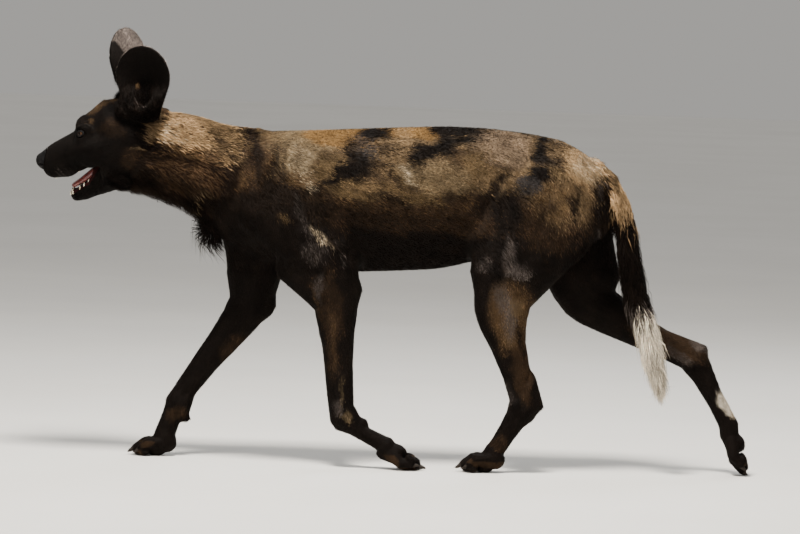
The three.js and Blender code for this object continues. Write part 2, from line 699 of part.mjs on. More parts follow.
// Fewer triangles for the same form: edges collapse where they move the surface least.
function simplify({ points, faces }, target, weight = null) {
  const count = points.length / 3;
  const P = Float64Array.from(points);
  const F = Int32Array.from(faces);
  const alive = new Uint8Array(F.length / 3).fill(1);
  const version = new Int32Array(count);
  const around = Array.from({ length: count }, () => []);
  const Q = new Float64Array(count * 10);
  const normalOf = (a, b, c) => {
    const ux = P[b] - P[a];
    const uy = P[b + 1] - P[a + 1];
    const uz = P[b + 2] - P[a + 2];
    const vx = P[c] - P[a];
    const vy = P[c + 1] - P[a + 1];
    const vz = P[c + 2] - P[a + 2];
    return [uy * vz - uz * vy, uz * vx - ux * vz, ux * vy - uy * vx];
  };
  for (let f = 0; f < alive.length; f += 1) {
    const ids = [F[f * 3], F[f * 3 + 1], F[f * 3 + 2]];
    const nrm = normalOf(ids[0] * 3, ids[1] * 3, ids[2] * 3);
    const len = Math.hypot(...nrm) || 1e-9;
    const [a, b, c] = nrm.map((v) => v / len);
    const p = ids[0] * 3;
    const d = -(a * P[p] + b * P[p + 1] + c * P[p + 2]);
    const w = (len / 2) * (weight ? weight(P[p], P[p + 1], P[p + 2]) : 1);
    const q = [a * a, a * b, a * c, a * d, b * b, b * c, b * d, c * c, c * d, d * d];
    for (const id of ids) {
      around[id].push(f);
      for (let i = 0; i < 10; i += 1) {
        Q[id * 10 + i] += q[i] * w;
      }
    }
  }
  const errorAt = (q, x, y, z) =>
    q[0] * x * x + 2 * q[1] * x * y + 2 * q[2] * x * z + 2 * q[3] * x + q[4] * y * y +
    2 * q[5] * y * z + 2 * q[6] * y + q[7] * z * z + 2 * q[8] * z + q[9];
  const queue = new Queue();
  const q = new Float64Array(10);
  const propose = (i, j) => {
    for (let k = 0; k < 10; k += 1) {
      q[k] = Q[i * 10 + k] + Q[j * 10 + k];
    }
    const det =
      q[0] * (q[4] * q[7] - q[5] * q[5]) - q[1] * (q[1] * q[7] - q[5] * q[2]) +
      q[2] * (q[1] * q[5] - q[4] * q[2]);
    const mx = (P[i * 3] + P[j * 3]) / 2;
    const my = (P[i * 3 + 1] + P[j * 3 + 1]) / 2;
    const mz = (P[i * 3 + 2] + P[j * 3 + 2]) / 2;
    const span = Math.hypot(P[i * 3] - P[j * 3], P[i * 3 + 1] - P[j * 3 + 1], P[i * 3 + 2] - P[j * 3 + 2]);
    let best = [mx, my, mz];
    const scale = Math.max(q[0] + q[4] + q[7], 1e-9);
    if (Math.abs(det) > 1e-4 * scale ** 3) {
      const x = (-q[3] * (q[4] * q[7] - q[5] * q[5]) + q[1] * (q[6] * q[7] - q[8] * q[5]) -
        q[2] * (q[6] * q[5] - q[8] * q[4])) / det;
      const y = (q[0] * (-q[6] * q[7] + q[8] * q[5]) + q[3] * (q[1] * q[7] - q[5] * q[2]) +
        q[2] * (-q[1] * q[8] + q[6] * q[2])) / det;
      const z = (q[0] * (-q[4] * q[8] + q[5] * q[6]) - q[1] * (-q[1] * q[8] + q[6] * q[2]) -
        q[3] * (q[1] * q[5] - q[4] * q[2])) / det;
      if (Math.hypot(x - mx, y - my, z - mz) < span) {
        best = [x, y, z];
      }
    }
    const cost = Math.max(errorAt(q, ...best), 0) + 1e-4 * span * span;
    queue.push({ cost, i, j, vi: version[i], vj: version[j], best });
  };
  const seen = new Set();
  for (let f = 0; f < alive.length; f += 1) {
    for (let e = 0; e < 3; e += 1) {
      const i = F[f * 3 + e];
      const j = F[f * 3 + ((e + 1) % 3)];
      const key = i < j ? i * count + j : j * count + i;
      if (!seen.has(key)) {
        seen.add(key);
        propose(Math.min(i, j), Math.max(i, j));
      }
    }
  }
  const neighbours = (i) => {
    const out = new Set();
    for (const f of around[i]) {
      for (let e = 0; e < 3; e += 1) {
        out.add(F[f * 3 + e]);
      }
    }
    out.delete(i);
    return out;
  };
  const flips = (i, other, to) => {
    for (const f of around[i]) {
      const ids = [F[f * 3], F[f * 3 + 1], F[f * 3 + 2]];
      if (ids.includes(other)) {
        continue;
      }
      const before = normalOf(ids[0] * 3, ids[1] * 3, ids[2] * 3);
      const keep = [P[i * 3], P[i * 3 + 1], P[i * 3 + 2]];
      P.set(to, i * 3);
      const after = normalOf(ids[0] * 3, ids[1] * 3, ids[2] * 3);
      P.set(keep, i * 3);
      const dot = before[0] * after[0] + before[1] * after[1] + before[2] * after[2];
      const size = Math.hypot(...before) * Math.hypot(...after);
      if (dot < 0.25 * size || Math.hypot(...after) < 0.02) {
        return true;
      }
    }
    return false;
  };
  let left = alive.length;
  while (left > target && queue.items.length > 0) {
    const { i, j, vi, vj, best } = queue.pop();
    if (version[i] !== vi || version[j] !== vj || around[i].length === 0 || around[j].length === 0) {
      continue;
    }
    const ni = neighbours(i);
    const nj = neighbours(j);
    let shared = 0;
    for (const v of ni) {
      shared += nj.has(v) ? 1 : 0;
    }
    if (shared !== 2 || flips(i, j, best) || flips(j, i, best)) {
      continue;
    }
    P.set(best, i * 3);
    for (let k = 0; k < 10; k += 1) {
      Q[i * 10 + k] += Q[j * 10 + k];
    }
    const kept = [];
    for (const f of around[j]) {
      const has = F[f * 3] === i || F[f * 3 + 1] === i || F[f * 3 + 2] === i;
      if (has) {
        alive[f] = 0;
        left -= 1;
      } else {
        for (let e = 0; e < 3; e += 1) {
          if (F[f * 3 + e] === j) {
            F[f * 3 + e] = i;
          }
        }
        kept.push(f);
      }
    }
    around[j] = [];
    around[i] = [...around[i].filter((f) => alive[f]), ...kept];
    for (const v of new Set([...ni, ...nj])) {
      if (v !== i && v !== j) {
        around[v] = around[v].filter((f) => alive[f]);
      }
    }
    version[j] += 1;
    version[i] += 1;
    for (const v of neighbours(i)) {
      propose(Math.min(i, v), Math.max(i, v));
    }
  }
  const renumber = new Map();
  const outPoints = [];
  const outFaces = [];
  for (let f = 0; f < alive.length; f += 1) {
    if (!alive[f]) {
      continue;
    }
    for (let e = 0; e < 3; e += 1) {
      const id = F[f * 3 + e];
      if (!renumber.has(id)) {
        renumber.set(id, outPoints.length / 3);
        outPoints.push(P[id * 3], P[id * 3 + 1], P[id * 3 + 2]);
      }
      outFaces.push(renumber.get(id));
    }
  }
  return { points: outPoints, faces: outFaces };
}

// Only the largest closed surface of a triangle set is kept.
function largestPiece({ points, faces }) {
  const parent = Int32Array.from({ length: points.length / 3 }, (_, i) => i);
  const find = (i) => {
    let r = i;
    while (parent[r] !== r) {
      parent[r] = parent[parent[r]];
      r = parent[r];
    }
    return r;
  };
  for (let f = 0; f < faces.length; f += 3) {
    parent[find(faces[f])] = find(faces[f + 1]);
    parent[find(faces[f + 1])] = find(faces[f + 2]);
  }
  const sizes = new Map();
  for (let f = 0; f < faces.length; f += 3) {
    const r = find(faces[f]);
    sizes.set(r, (sizes.get(r) ?? 0) + 1);
  }
  const best = [...sizes.entries()].sort((a, b) => b[1] - a[1])[0][0];
  const renumber = new Map();
  const outPoints = [];
  const outFaces = [];
  for (let f = 0; f < faces.length; f += 3) {
    if (find(faces[f]) !== best) {
      continue;
    }
    for (let e = 0; e < 3; e += 1) {
      const id = faces[f + e];
      if (!renumber.has(id)) {
        renumber.set(id, outPoints.length / 3);
        outPoints.push(points[id * 3], points[id * 3 + 1], points[id * 3 + 2]);
      }
      outFaces.push(renumber.get(id));
    }
  }
  return { points: outPoints, faces: outFaces };
}

function solidOf({ points, faces }) {
  const mesh = new wasm.Mesh({
    numProp: 3,
    vertProperties: Float32Array.from(points),
    triVerts: Uint32Array.from(faces),
  });
  return new wasm.Manifold(mesh);
}

function meshOf(solid) {
  const mesh = solid.getMesh();
  return { points: Array.from(mesh.vertProperties), faces: Array.from(mesh.triVerts) };
}

// The one body of a cut solid that matters, without crumbs beside it.
function mainBody(solid) {
  const bodies = solid.decompose();
  let best = bodies[0];
  for (const body of bodies) {
    if (body.volume() > best.volume()) {
      best = body;
    }
  }
  return best;
}

// Surface pushed outwards along its normals, to cut a neighbour with a small gap.
function swollen(solid, by) {
  const { points, faces } = meshOf(solid);
  const geometry = new BufferGeometry();
  geometry.setAttribute('position', new BufferAttribute(Float32Array.from(points), 3));
  geometry.setIndex(faces);
  geometry.computeVertexNormals();
  const normal = geometry.getAttribute('normal');
  const out = points.slice();
  for (let i = 0; i < points.length / 3; i += 1) {
    out[i * 3] += normal.getX(i) * by;
    out[i * 3 + 1] += normal.getY(i) * by;
    out[i * 3 + 2] += normal.getZ(i) * by;
  }
  return solidOf({ points: out, faces });
}

// Repeatable random source between 0 and 1.
function seeded(seed) {
  let state = seed;
  return () => {
    state = (state * 1664525 + 1013904223) % 4294967296;
    return state / 4294967296;
  };
}

// Flat tapered lock of hair along a path, with its broad face towards the facing direction.
function lock(path, facing, halfWidth, halfThick) {
  const points = [];
  const faces = [];
  const last = path.length - 1;
  for (let i = 0; i < last; i += 1) {
    const t = i / last;
    const along = path[i + 1].clone().sub(path[Math.max(i - 1, 0)]).normalize();
    const side = new Vector3().crossVectors(along, facing).normalize();
    const up = new Vector3().crossVectors(side, along);
    const w = halfWidth * (0.72 + 0.9 * t) * (1 - t * t);
    const h = halfThick * (1 - 0.6 * t);
    for (const [a, b] of [[w, -h], [0, h], [-w, -h]]) {
      const corner = path[i].clone().addScaledVector(side, a).addScaledVector(up, b);
      points.push(corner.x, corner.y, corner.z);
    }
  }
  points.push(path[last].x, path[last].y, path[last].z);
  for (let i = 0; i + 1 < last; i += 1) {
    for (let k = 0; k < 3; k += 1) {
      const a = i * 3 + k;
      const b = i * 3 + ((k + 1) % 3);
      faces.push(a, b, b + 3, a, b + 3, a + 3);
    }
  }
  for (let k = 0; k < 3; k += 1) {
    faces.push((last - 1) * 3 + k, (last - 1) * 3 + ((k + 1) % 3), last * 3);
  }
  faces.push(0, 2, 1);
  return solidOf(facingOut({ points, faces }));
}

// A solid with its locks, joined at once and without the scraps and hollows that this leaves.
function haired(solid, locks) {
  const joined = wasm.Manifold.union([solid, ...locks]);
  return solidOf(largestPiece(meshOf(joined)));
}

// Large block on the far side of a plane: point and outward normal of what is kept.
function beyond(point, normal, gap = GAP / 2) {
  const size = 3000;
  const n = new Vector3(...normal).normalize();
  const side = Math.abs(n.z) < 0.9 ? new Vector3(0, 0, 1) : new Vector3(1, 0, 0);
  const u = new Vector3().crossVectors(side, n).normalize();
  const v = new Vector3().crossVectors(n, u);
  const geometry = new BoxGeometry(size, size, size);
  geometry.applyMatrix4(new Matrix4().makeBasis(u, v, n));
  const shift = n.clone().multiplyScalar(size / 2 + gap).add(new Vector3(...point));
  geometry.translate(shift.x, shift.y, shift.z);
  return solidOf(mergedBox(geometry));
}

// Box faces share their eight corners.
function mergedBox(geometry) {
  const position = geometry.getAttribute('position');
  const index = geometry.getIndex();
  const found = new Map();
  const points = [];
  const faces = [];
  for (let i = 0; i < index.count; i += 1) {
    const id = index.getX(i);
    const p = [position.getX(id), position.getY(id), position.getZ(id)];
    const key = p.map((v) => Math.round(v * 1e4)).join(' ');
    if (!found.has(key)) {
      found.set(key, points.length / 3);
      points.push(...p);
    }
    faces.push(found.get(key));
  }
  return { points, faces };
}

function block(lo, hi) {
  const geometry = new BoxGeometry(hi[0] - lo[0], hi[1] - lo[1], hi[2] - lo[2]);
  geometry.translate((hi[0] + lo[0]) / 2, (hi[1] + lo[1]) / 2, (hi[2] + lo[2]) / 2);
  return solidOf(mergedBox(geometry));
}

// Planes between neighbours: a point on the plane and its normal.
const CUTS = {
  headNeck: { point: [-500, 0, 600], normal: [0.884, 0, -0.468] },
  neckTorso: { point: [-330, 0, 550], normal: [0.925, 0, -0.379] },
  nose: { point: [-693, 0, 576], normal: [0.98, 0, -0.12] },
  leftWrist: { point: [-70, 0, 82], normal: [0.85, 0, -0.52] },
  leftForePaw: { point: [-18, 0, 50], normal: [0.85, 0, -0.52] },
  rightWrist: { point: [-425, 0, 92], normal: [-0.45, 0, -0.89] },
  rightForePaw: { point: [-442, 0, 52], normal: [-0.5, 0, -0.86] },
  leftHock: { point: [246, 0, 106], normal: [-0.6, 0, -0.8] },
  leftHindPaw: { point: [204, 0, 46], normal: [-0.6, 0, -0.8] },
  rightHock: { point: [603, 0, 200], normal: [0.5, 0, -0.86] },
  rightHindPaw: { point: [657, 0, 106], normal: [0.5, 0, -0.86] },
  tailUpper: { point: [446, 0, 452], normal: [0.1, 0, -1] },
  tailLower: { point: [482, 0, 312], normal: [0.25, 0, -0.97] },
};

const ahead = (cut) => beyond(cut.point, cut.normal.map((v) => -v));
const behind = (cut) => beyond(cut.point, cut.normal);

// Solid of a field inside a box, at the triangle budget given.
function shape(field, box, cell, target, weight = null) {
  const raw = largestPiece(polygonise(field, box, cell));
  return solidOf(simplify(facingOut(raw), target, weight));
}

const foreLegs = foreLegForms();
const hindLegs = hindLegForms();
const paws = {
  leftFore: pawForms({ at: [-3, -FOOT_TRACK, 33.5], forward: [0.86, -0.51], sole: [0.51, 0.86], toe: 66 }),
  rightFore: pawForms({ at: [-448, FOOT_TRACK, 22.8], forward: [-1, -0.08], sole: [-0.08, -1] }),
  leftHind: pawForms({ at: [196, -46, 22.8], forward: [-1, -0.06], sole: [-0.06, -1] }),
  rightHind: pawForms({ at: [668, 53, 73.5], forward: [0.28, -0.96], sole: [0.96, 0.28], toe: 74 }),
};

const trunk = trunkForms();
const head = unrolled(gather([...headForms(), ...jawForms()]));
const trunkField = gather([
  ...trunk,
  ...foreLegs.left,
  ...foreLegs.right,
  ...hindLegs.left,
  ...hindLegs.right,
]);
const flesh = (x, y, z) => {
  const body = trunkField(x, y, z);
  return x > -430 ? body : softMin(body, head(x, y, z), 16);
};

const solids = {};

// Torso between the neck and the rump, above the four legs.
solids.torso = shape(flesh, [[-430, -125, 350], [440, 125, 700]], 8, 1400)
  .intersect(behind(CUTS.neckTorso))
  .subtract(block([-600, -300, 0], [900, 300, FORELEG_CUT + GAP / 2]))
  .subtract(block([125, -300, 0], [900, 300, HINDLEG_CUT + GAP / 2]));

solids.neck = shape(flesh, [[-580, -100, 420], [-270, 100, 710]], 6, 700)
  .intersect(behind(CUTS.headNeck))
  .intersect(ahead(CUTS.neckTorso));

// Point on the skin straight above a place under the animal, and the way its surface faces.
function skinAbove(field, x, y, low, high) {
  let a = low;
  let b = high;
  for (let i = 0; i < 24; i += 1) {
    const m = (a + b) / 2;
    if (field(x, y, m) > 0) {
      a = m;
    } else {
      b = m;
    }
  }
  const e = 0.5;
  const out = new Vector3(
    field(x + e, y, a) - field(x - e, y, a),
    field(x, y + e, a) - field(x, y - e, a),
    field(x, y, a + e) - field(x, y, a - e),
  );
  return { place: new Vector3(x, y, a), out: out.normalize() };
}

// Ragged fringe under the throat, its locks pointing back and down.
function throatLocks() {
  const random = seeded(23);
  const locks = [];
  for (let row = 0; row < 5; row += 1) {
    for (let k = 0; k < 4; k += 1) {
      const x = mix(-520, -422, row / 4) + 10 * (random() - 0.5);
      const y = (k - 1.75 + 0.5 * (row % 2)) * 18 + 5 * (random() - 0.5);
      const { place, out } = skinAbove(flesh, x, y, 400, 600);
      const lie = new Vector3(0.84, 0.12 * (random() - 0.5), -0.54);
      lie.addScaledVector(out, -lie.dot(out)).normalize();
      const length = FRINGE_LOCK * (0.8 + 0.4 * random());
      const lift = 9 + 13 * random();
      const path = [];
      for (let i = 0; i <= 3; i += 1) {
        const t = i / 3;
        const point = place.clone().addScaledVector(out, mix(-6, lift, Math.sin((t * Math.PI) / 2)));
        path.push(point.addScaledVector(lie, length * t));
      }
      locks.push(lock(path, out, 10.5, 2.6));
    }
  }
  return locks;
}
solids.neck = haired(solids.neck, throatLocks())
  .intersect(behind(CUTS.headNeck))
  .intersect(ahead(CUTS.neckTorso));

// Head: finer towards the face, where lids, lips and nostrils are.
const faceWeight = (x) => (x < -590 ? 3 : 1);
const headSolid = shape(flesh, [[-724, -84, 484], [-440, 96, 724]], 2.6, 2750, faceWeight)
  .intersect(ahead(CUTS.headNeck));

// The lower jaw is parted from the head below the line of the mouth.
function mouthWedge(grow) {
  const points = [];
  const faces = [];
  const line = [
    [-760, 440],
    [-584 + 26 + grow, 440],
    [-584 + grow, 577 + grow],
    [-600, 571 + grow],
    [-636, 549 + grow],
    [-664, 537 + grow],
    [-760, 520 + grow],
  ];
  for (const y of [-120, 120]) {
    for (const [x, z] of line) {
      points.push(...rolled(x, y, z));
    }
  }
  const n = line.length;
  for (let i = 0; i < n; i += 1) {
    const j = (i + 1) % n;
    faces.push(i, j, n + j, i, n + j, n + i);
  }
  for (let i = 1; i + 1 < n; i += 1) {
    faces.push(0, i + 1, i, n, n + i, n + i + 1);
  }
  return solidOf(facingOut({ points, faces }));
}

const jawRegion = mouthWedge(0);
const jawRegionWide = mouthWedge(GAP);

const eye = (side) => {
  const ball = new SphereGeometry(EYE_RADIUS, 12, 8);
  ball.rotateX(Math.PI / 2);
  const at = rolled(EYE_X, side * EYE_Y, EYE_Z);
  ball.translate(...at);
  return solidOf(mergedBox(ball));
};

solids.eye_left = eye(-1);
solids.eye_right = eye(1);

solids.head = headSolid
  .subtract(jawRegionWide)
  .intersect(behind({ point: rolled(...CUTS.nose.point), normal: CUTS.nose.normal }))
  .subtract(swollen(solids.eye_left, GAP))
  .subtract(swollen(solids.eye_right, GAP));

solids.nose = shape(flesh, [[-720, -26, 548], [-680, 34, 604]], 1.6, 330)
  .intersect(ahead({ point: rolled(...CUTS.nose.point), normal: CUTS.nose.normal }));

const toothField = unrolled(gather([...jawForms(), ...lowerTeeth()]));
const tongueField = unrolled(gather(tongueForms()));
solids.tongue = shape(tongueField, [[-650, -26, 505], [-566, 30, 590]], 2.4, 130)
  .intersect(jawRegion);
solids.lower_jaw = shape(toothField, [[-656, -52, 484], [-540, 60, 600]], 1.8, 950)
  .intersect(jawRegion)
  .subtract(swollen(solids.tongue, GAP));

// Ears: the left one turns its bowl to the side, the right one faces ahead and leans forward.
const ears = {
  ear_left: earField({
    centre: rolled(-503, -60, 754),
    up: [-0.03, -0.2, 1],
    facing: [-0.2, -1, -0.1],
    root: rolled(-512, -38, 684),
  }),
  ear_right: earField({
    centre: rolled(-540, 56, 769),
    up: [-0.11, 0.14, 1],
    facing: [-0.85, 0.66, 0.1],
    root: rolled(-520, 38, 684),
  }),
};
const headWide = swollen(headSolid, GAP);
const neckWide = swollen(solids.neck, GAP);
for (const [name, field] of Object.entries(ears)) {
  const y = name === 'ear_left' ? [-140, -10] : [-20, 120];
  solids[name] = shape(field, [[-610, y[0], 630], [-430, y[1], 850]], 2.4, 560)
    .subtract(headWide)
    .subtract(neckWide);
}

// Legs in lengths between their joints.
const floorOff = block([-2000, -500, -200], [2000, 500, 0]);
const leg = (box, cell, target, cuts) => {
  let solid = shape(flesh, box, cell, target);
  for (const cut of cuts) {
    solid = solid.intersect(cut);
  }
  return solid;
};
const foreTop = beyond([0, 0, FORELEG_CUT], [0, 0, -1]);
const hindTop = beyond([0, 0, HINDLEG_CUT], [0, 0, -1]);

solids.forearm_left = leg([[-260, -120, 60], [-20, -6, 400]], 5, 350, [foreTop, ahead(CUTS.leftWrist)]);
solids.forearm_right = leg([[-460, 6, 60], [-200, 120, 400]], 5, 350, [foreTop, ahead(CUTS.rightWrist)]);
solids.shank_left = leg([[100, -125, 80], [360, -6, 430]], 5, 430, [hindTop, ahead(CUTS.leftHock)]);
solids.shank_right = leg([[270, 6, 180], [640, 130, 430]], 5, 430, [hindTop, ahead(CUTS.rightHock)]);

const foot = (forms, limb, box, cell, target, cuts) => {
  let solid = shape(gather([...limb, ...forms]), box, cell, target);
  for (const cut of cuts) {
    solid = solid.intersect(cut);
  }
  return solid.subtract(floorOff);
};

solids.pastern_left = leg([[-130, -100, 24], [10, -20, 130]], 4, 150, [
  behind(CUTS.leftWrist),
  ahead(CUTS.leftForePaw),
]);
solids.pastern_right = leg([[-480, 20, 16], [-380, 100, 130]], 4, 150, [
  behind(CUTS.rightWrist),
  ahead(CUTS.rightForePaw),
]);
solids.metatarsus_left = leg([[160, -100, 10], [300, -14, 150]], 4, 180, [
  behind(CUTS.leftHock),
  ahead(CUTS.leftHindPaw),
]);
solids.metatarsus_right = leg([[560, 20, 70], [700, 104, 240]], 4, 180, [
  behind(CUTS.rightHock),
  ahead(CUTS.rightHindPaw),
]);
solids.forepaw_left = foot(
  paws.leftFore, foreLegs.left, [[-50, -100, -14], [90, -16, 90]], 2.4, 560, [behind(CUTS.leftForePaw)],
);
solids.forepaw_right = foot(
  paws.rightFore, foreLegs.right, [[-530, 16, -14], [-400, 100, 80]], 2.4, 560,
  [behind(CUTS.rightForePaw)],
);
solids.hindpaw_left = foot(
  paws.leftHind, hindLegs.left, [[100, -96, -14], [250, -10, 80]], 2.4, 560, [behind(CUTS.leftHindPaw)],
);
solids.hindpaw_right = foot(
  paws.rightHind, hindLegs.right, [[620, 18, -14], [740, 104, 130]], 2.4, 560,
  [behind(CUTS.rightHindPaw)],
);

// Tail: root, brush and pale tip, which hang behind the haunches and swing a little to the left.
const TAIL = [
  [372, 0, 598, 22, 20],
  [398, 0, 572, 25, 21],
  [423, -2, 528, 25, 22],
  [441, -5, 480, 28, 25],
  [451, -8, 420, 33, 27],
  [466, -11, 352, 34, 28],
  [484, -13, 300, 33, 27],
  [500, -14, 245, 28, 24],
  [511, -15, 205, 17, 14],
  [518, -15, 174, 5, 5],
];
const tailSpine = new CatmullRomCurve3(TAIL.map(([x, y, z]) => new Vector3(x, y, z)));
const tailLength = tailSpine.getLength();

// Middle, direction and half sizes of the brush at a distance from the root of the tail.
function brushAt(distance) {
  const u = Math.min(distance / tailLength, 1);
  const station = tailSpine.getUtoTmapping(u) * (TAIL.length - 1);
  const i = Math.min(Math.floor(station), TAIL.length - 2);
  const along = tailSpine.getTangentAt(u);
  const middle = tailSpine.getPointAt(u).addScaledVector(along, Math.max(distance - tailLength, 0));
  const back = new Vector3(0, 1, 0).cross(along).normalize();
  const across = new Vector3().crossVectors(along, back);
  return {
    middle,
    along,
    back: back.multiplyScalar(mix(TAIL[i][3], TAIL[i + 1][3], station - i)),
    across: across.multiplyScalar(mix(TAIL[i][4], TAIL[i + 1][4], station - i)),
  };
}

// Place in the brush at an angle round the tail, from its middle (0) to the tips (1).
function inBrush(distance, angle, reach) {
  const { middle, back, across } = brushAt(distance);
  return middle
    .addScaledVector(back, Math.cos(angle) * reach)
    .addScaledVector(across, Math.sin(angle) * reach);
}

function tailLocks() {
  const random = seeded(11);
  const locks = [];
  for (let row = 0; row < BRUSH_ROWS; row += 1) {
    const start = mix(52, tailLength - 50, row / (BRUSH_ROWS - 1));
    const { back } = brushAt(start);
    const width = (Math.PI * back.length()) / BRUSH_ROUND;
    const count = BRUSH_ROUND - Math.max(row - 4, 0);
    for (let k = 0; k < count; k += 1) {
      const angle = ((k + 0.5 * (row % 2) + 0.3 * (random() - 0.5)) / count) * Math.PI * 2;
      const from = start + 14 * (random() - 0.5);
      const length = Math.min(BRUSH_LOCK * (0.85 + 0.3 * random()), tailLength + 4 - from);
      const reach = 0.92 + 0.18 * random();
      const path = [];
      for (let i = 0; i <= 3; i += 1) {
        const t = i / 3;
        const rise = mix(0.3, reach, 1 - (1 - t) ** 2.6);
        path.push(inBrush(from + length * t, angle, rise));
      }
      const facing = inBrush(from, angle, 1).sub(inBrush(from, angle, 0)).normalize();
      locks.push(lock(path, facing, width * 0.98, 2.8));
    }
  }
  return locks;
}

const CORE = [1, 0.98, 0.85, 0.6, 0.5, 0.5, 0.5, 0.5, 0.5, 0.8];
const tailCore = gather(run(
  TAIL.map(([x, y, z, depth, width], i) => [x, y, z, depth * CORE[i], width * CORE[i]]),
  12,
));
const wholeTail = haired(shape(tailCore, [[330, -60, 150], [560, 60, 650]], 4, 300), tailLocks());
const tail = (cuts) => cuts.reduce((solid, cut) => solid.intersect(cut), wholeTail);
solids.tail_root = tail([ahead(CUTS.tailUpper)]).subtract(swollen(solids.torso, GAP));
solids.tail_middle = tail([behind(CUTS.tailUpper), ahead(CUTS.tailLower)]);
solids.tail_tip = tail([behind(CUTS.tailLower)]);

const LOOKS = {
  torso: [COLOURS.coat, 0.85],
  neck: [COLOURS.tan, 0.85],
  head: [COLOURS.dark, 0.8],
  lower_jaw: [COLOURS.dark, 0.7],
  tongue: [COLOURS.tongue, 0.45],
  nose: [COLOURS.nose, 0.4],
  eye_left: [COLOURS.eye, 0.1],
  eye_right: [COLOURS.eye, 0.1],
  ear_left: [COLOURS.ear, 0.85],
  ear_right: [COLOURS.ear, 0.85],
  tail_root: [COLOURS.tan, 0.85],
  tail_middle: [COLOURS.dark, 0.85],
  tail_tip: [COLOURS.white, 0.85],
};

// The origin is on the floor below the middle of the whole animal.
const bodies = {};
const low = new Vector3(Infinity, Infinity, Infinity);
const high = low.clone().negate();
for (const [name, solid] of Object.entries(solids)) {
  bodies[name] = mainBody(solid);
  const { min, max } = bodies[name].boundingBox();
  low.min(new Vector3(...min));
  high.max(new Vector3(...max));
}
const middle = low.clone().add(high).multiplyScalar(0.5);

const group = new Group();
for (const [name, solid] of Object.entries(bodies)) {
  const { points, faces } = meshOf(solid);
  for (let i = 0; i < points.length; i += 3) {
    points[i] -= middle.x;
    points[i + 1] -= middle.y;
  }
  const geometry = new BufferGeometry();
  geometry.setAttribute('position', new BufferAttribute(Float32Array.from(points), 3));
  geometry.setIndex(faces);
  geometry.computeVertexNormals();
  const [colour, roughness] = LOOKS[name] ?? [COLOURS.dark, 0.85];
  const material = new MeshStandardMaterial({ color: new Color(colour), roughness, metalness: 0 });
  const mesh = new Mesh(geometry, material);
  mesh.name = name;
  group.add(mesh);
}

export default group;
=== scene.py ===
"""African wild dog in mid-stride: one skin with its coat, face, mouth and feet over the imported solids."""

import logging
import math
from collections.abc import Callable
from dataclasses import dataclass, field
from enum import Enum

import bpy
import numpy as np
from mathutils import Matrix, Vector
from mathutils.bvhtree import BVHTree


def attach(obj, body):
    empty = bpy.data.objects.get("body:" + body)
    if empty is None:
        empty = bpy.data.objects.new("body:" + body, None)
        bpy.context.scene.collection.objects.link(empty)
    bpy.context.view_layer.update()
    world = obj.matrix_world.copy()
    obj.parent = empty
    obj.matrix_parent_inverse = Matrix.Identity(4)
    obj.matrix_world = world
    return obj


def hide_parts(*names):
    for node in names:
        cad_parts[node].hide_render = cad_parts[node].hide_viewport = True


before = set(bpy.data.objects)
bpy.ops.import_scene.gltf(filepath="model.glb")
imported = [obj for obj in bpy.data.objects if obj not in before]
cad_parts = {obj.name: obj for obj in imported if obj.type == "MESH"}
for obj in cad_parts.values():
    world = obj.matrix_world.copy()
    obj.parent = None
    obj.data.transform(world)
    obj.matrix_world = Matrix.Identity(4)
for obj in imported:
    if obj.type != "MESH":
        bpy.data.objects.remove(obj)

log = logging.getLogger("wild_dog")

Triple = tuple[float, float, float]
Draw = np.random.Generator | None

MM = 0.001
ROOT = "root"
BAKE_MAP = "OFBake"
COAT_COLOUR = "Coat"
HEAD_ROLL = math.radians(8)
HEAD_PIVOT_Z = 640 * MM
FRAME_SHIFT_X = 3.5 * MM
FLOOR_CLEARANCE = 0.3 * MM
BAKE_PATCH = 0.003
NOSE_TUCK = 1.4 * MM
EAR_PARTING_Y = 0.006
EYE_PLACE = (-619, 30, 635)
NOSE_PLACE = (-697, 0, 573)
NOSE_TIP = (-701, 0, 573)
FINE_PITCH = 0.0009
SKIN_SHADE = 0.55
MOUTH_RED = (0.030, 0.008, 0.008)
SHORT_FACES = 4
LONG_FACES = 10


def rolled(x: float, y: float, z: float) -> Vector:
    """Turn a place in the upright head, in millimetres, into the frame.

    Args:
        x: Distance along the body.
        y: Distance to the animal's right.
        z: Height above the floor.

    Returns:
        The place in metres, with the head rolled as it is carried.
    """
    cos, sin = math.cos(HEAD_ROLL), math.sin(HEAD_ROLL)
    h = z * MM - HEAD_PIVOT_Z
    return Vector((x * MM + FRAME_SHIFT_X, y * MM * cos - h * sin, y * MM * sin + h * cos + HEAD_PIVOT_Z))


def eye_place(side: int, out: float = 0) -> Triple:
    """Give an eye's middle in the upright head, moved out by so many millimetres."""
    x, y, z = EYE_PLACE
    return x, side * (y + out), z


def unrolled(points: np.ndarray) -> np.ndarray:
    """Turn places in the frame into the upright head, in millimetres.

    Args:
        points: Places in metres, one a row.

    Returns:
        The same places in the upright head.
    """
    cos, sin = math.cos(HEAD_ROLL), math.sin(HEAD_ROLL)
    h = points[:, 2] - HEAD_PIVOT_Z
    y = points[:, 1]
    return np.stack(
        [
            (points[:, 0] - FRAME_SHIFT_X) / MM,
            (y * cos + h * sin) / MM,
            (-y * sin + h * cos + HEAD_PIVOT_Z) / MM,
        ],
        1,
    )


def unit(vectors: np.ndarray) -> np.ndarray:
    """Scale each row to length one."""
    return vectors / np.maximum(np.linalg.norm(vectors, axis=1, keepdims=True), 1e-9)


def smooth_step(low: float, high: float, values: np.ndarray) -> np.ndarray:
    """Rise smoothly from 0 at low to 1 at high."""
    t = np.clip((values - low) / (high - low), 0, 1)
    return t * t * (3 - 2 * t)


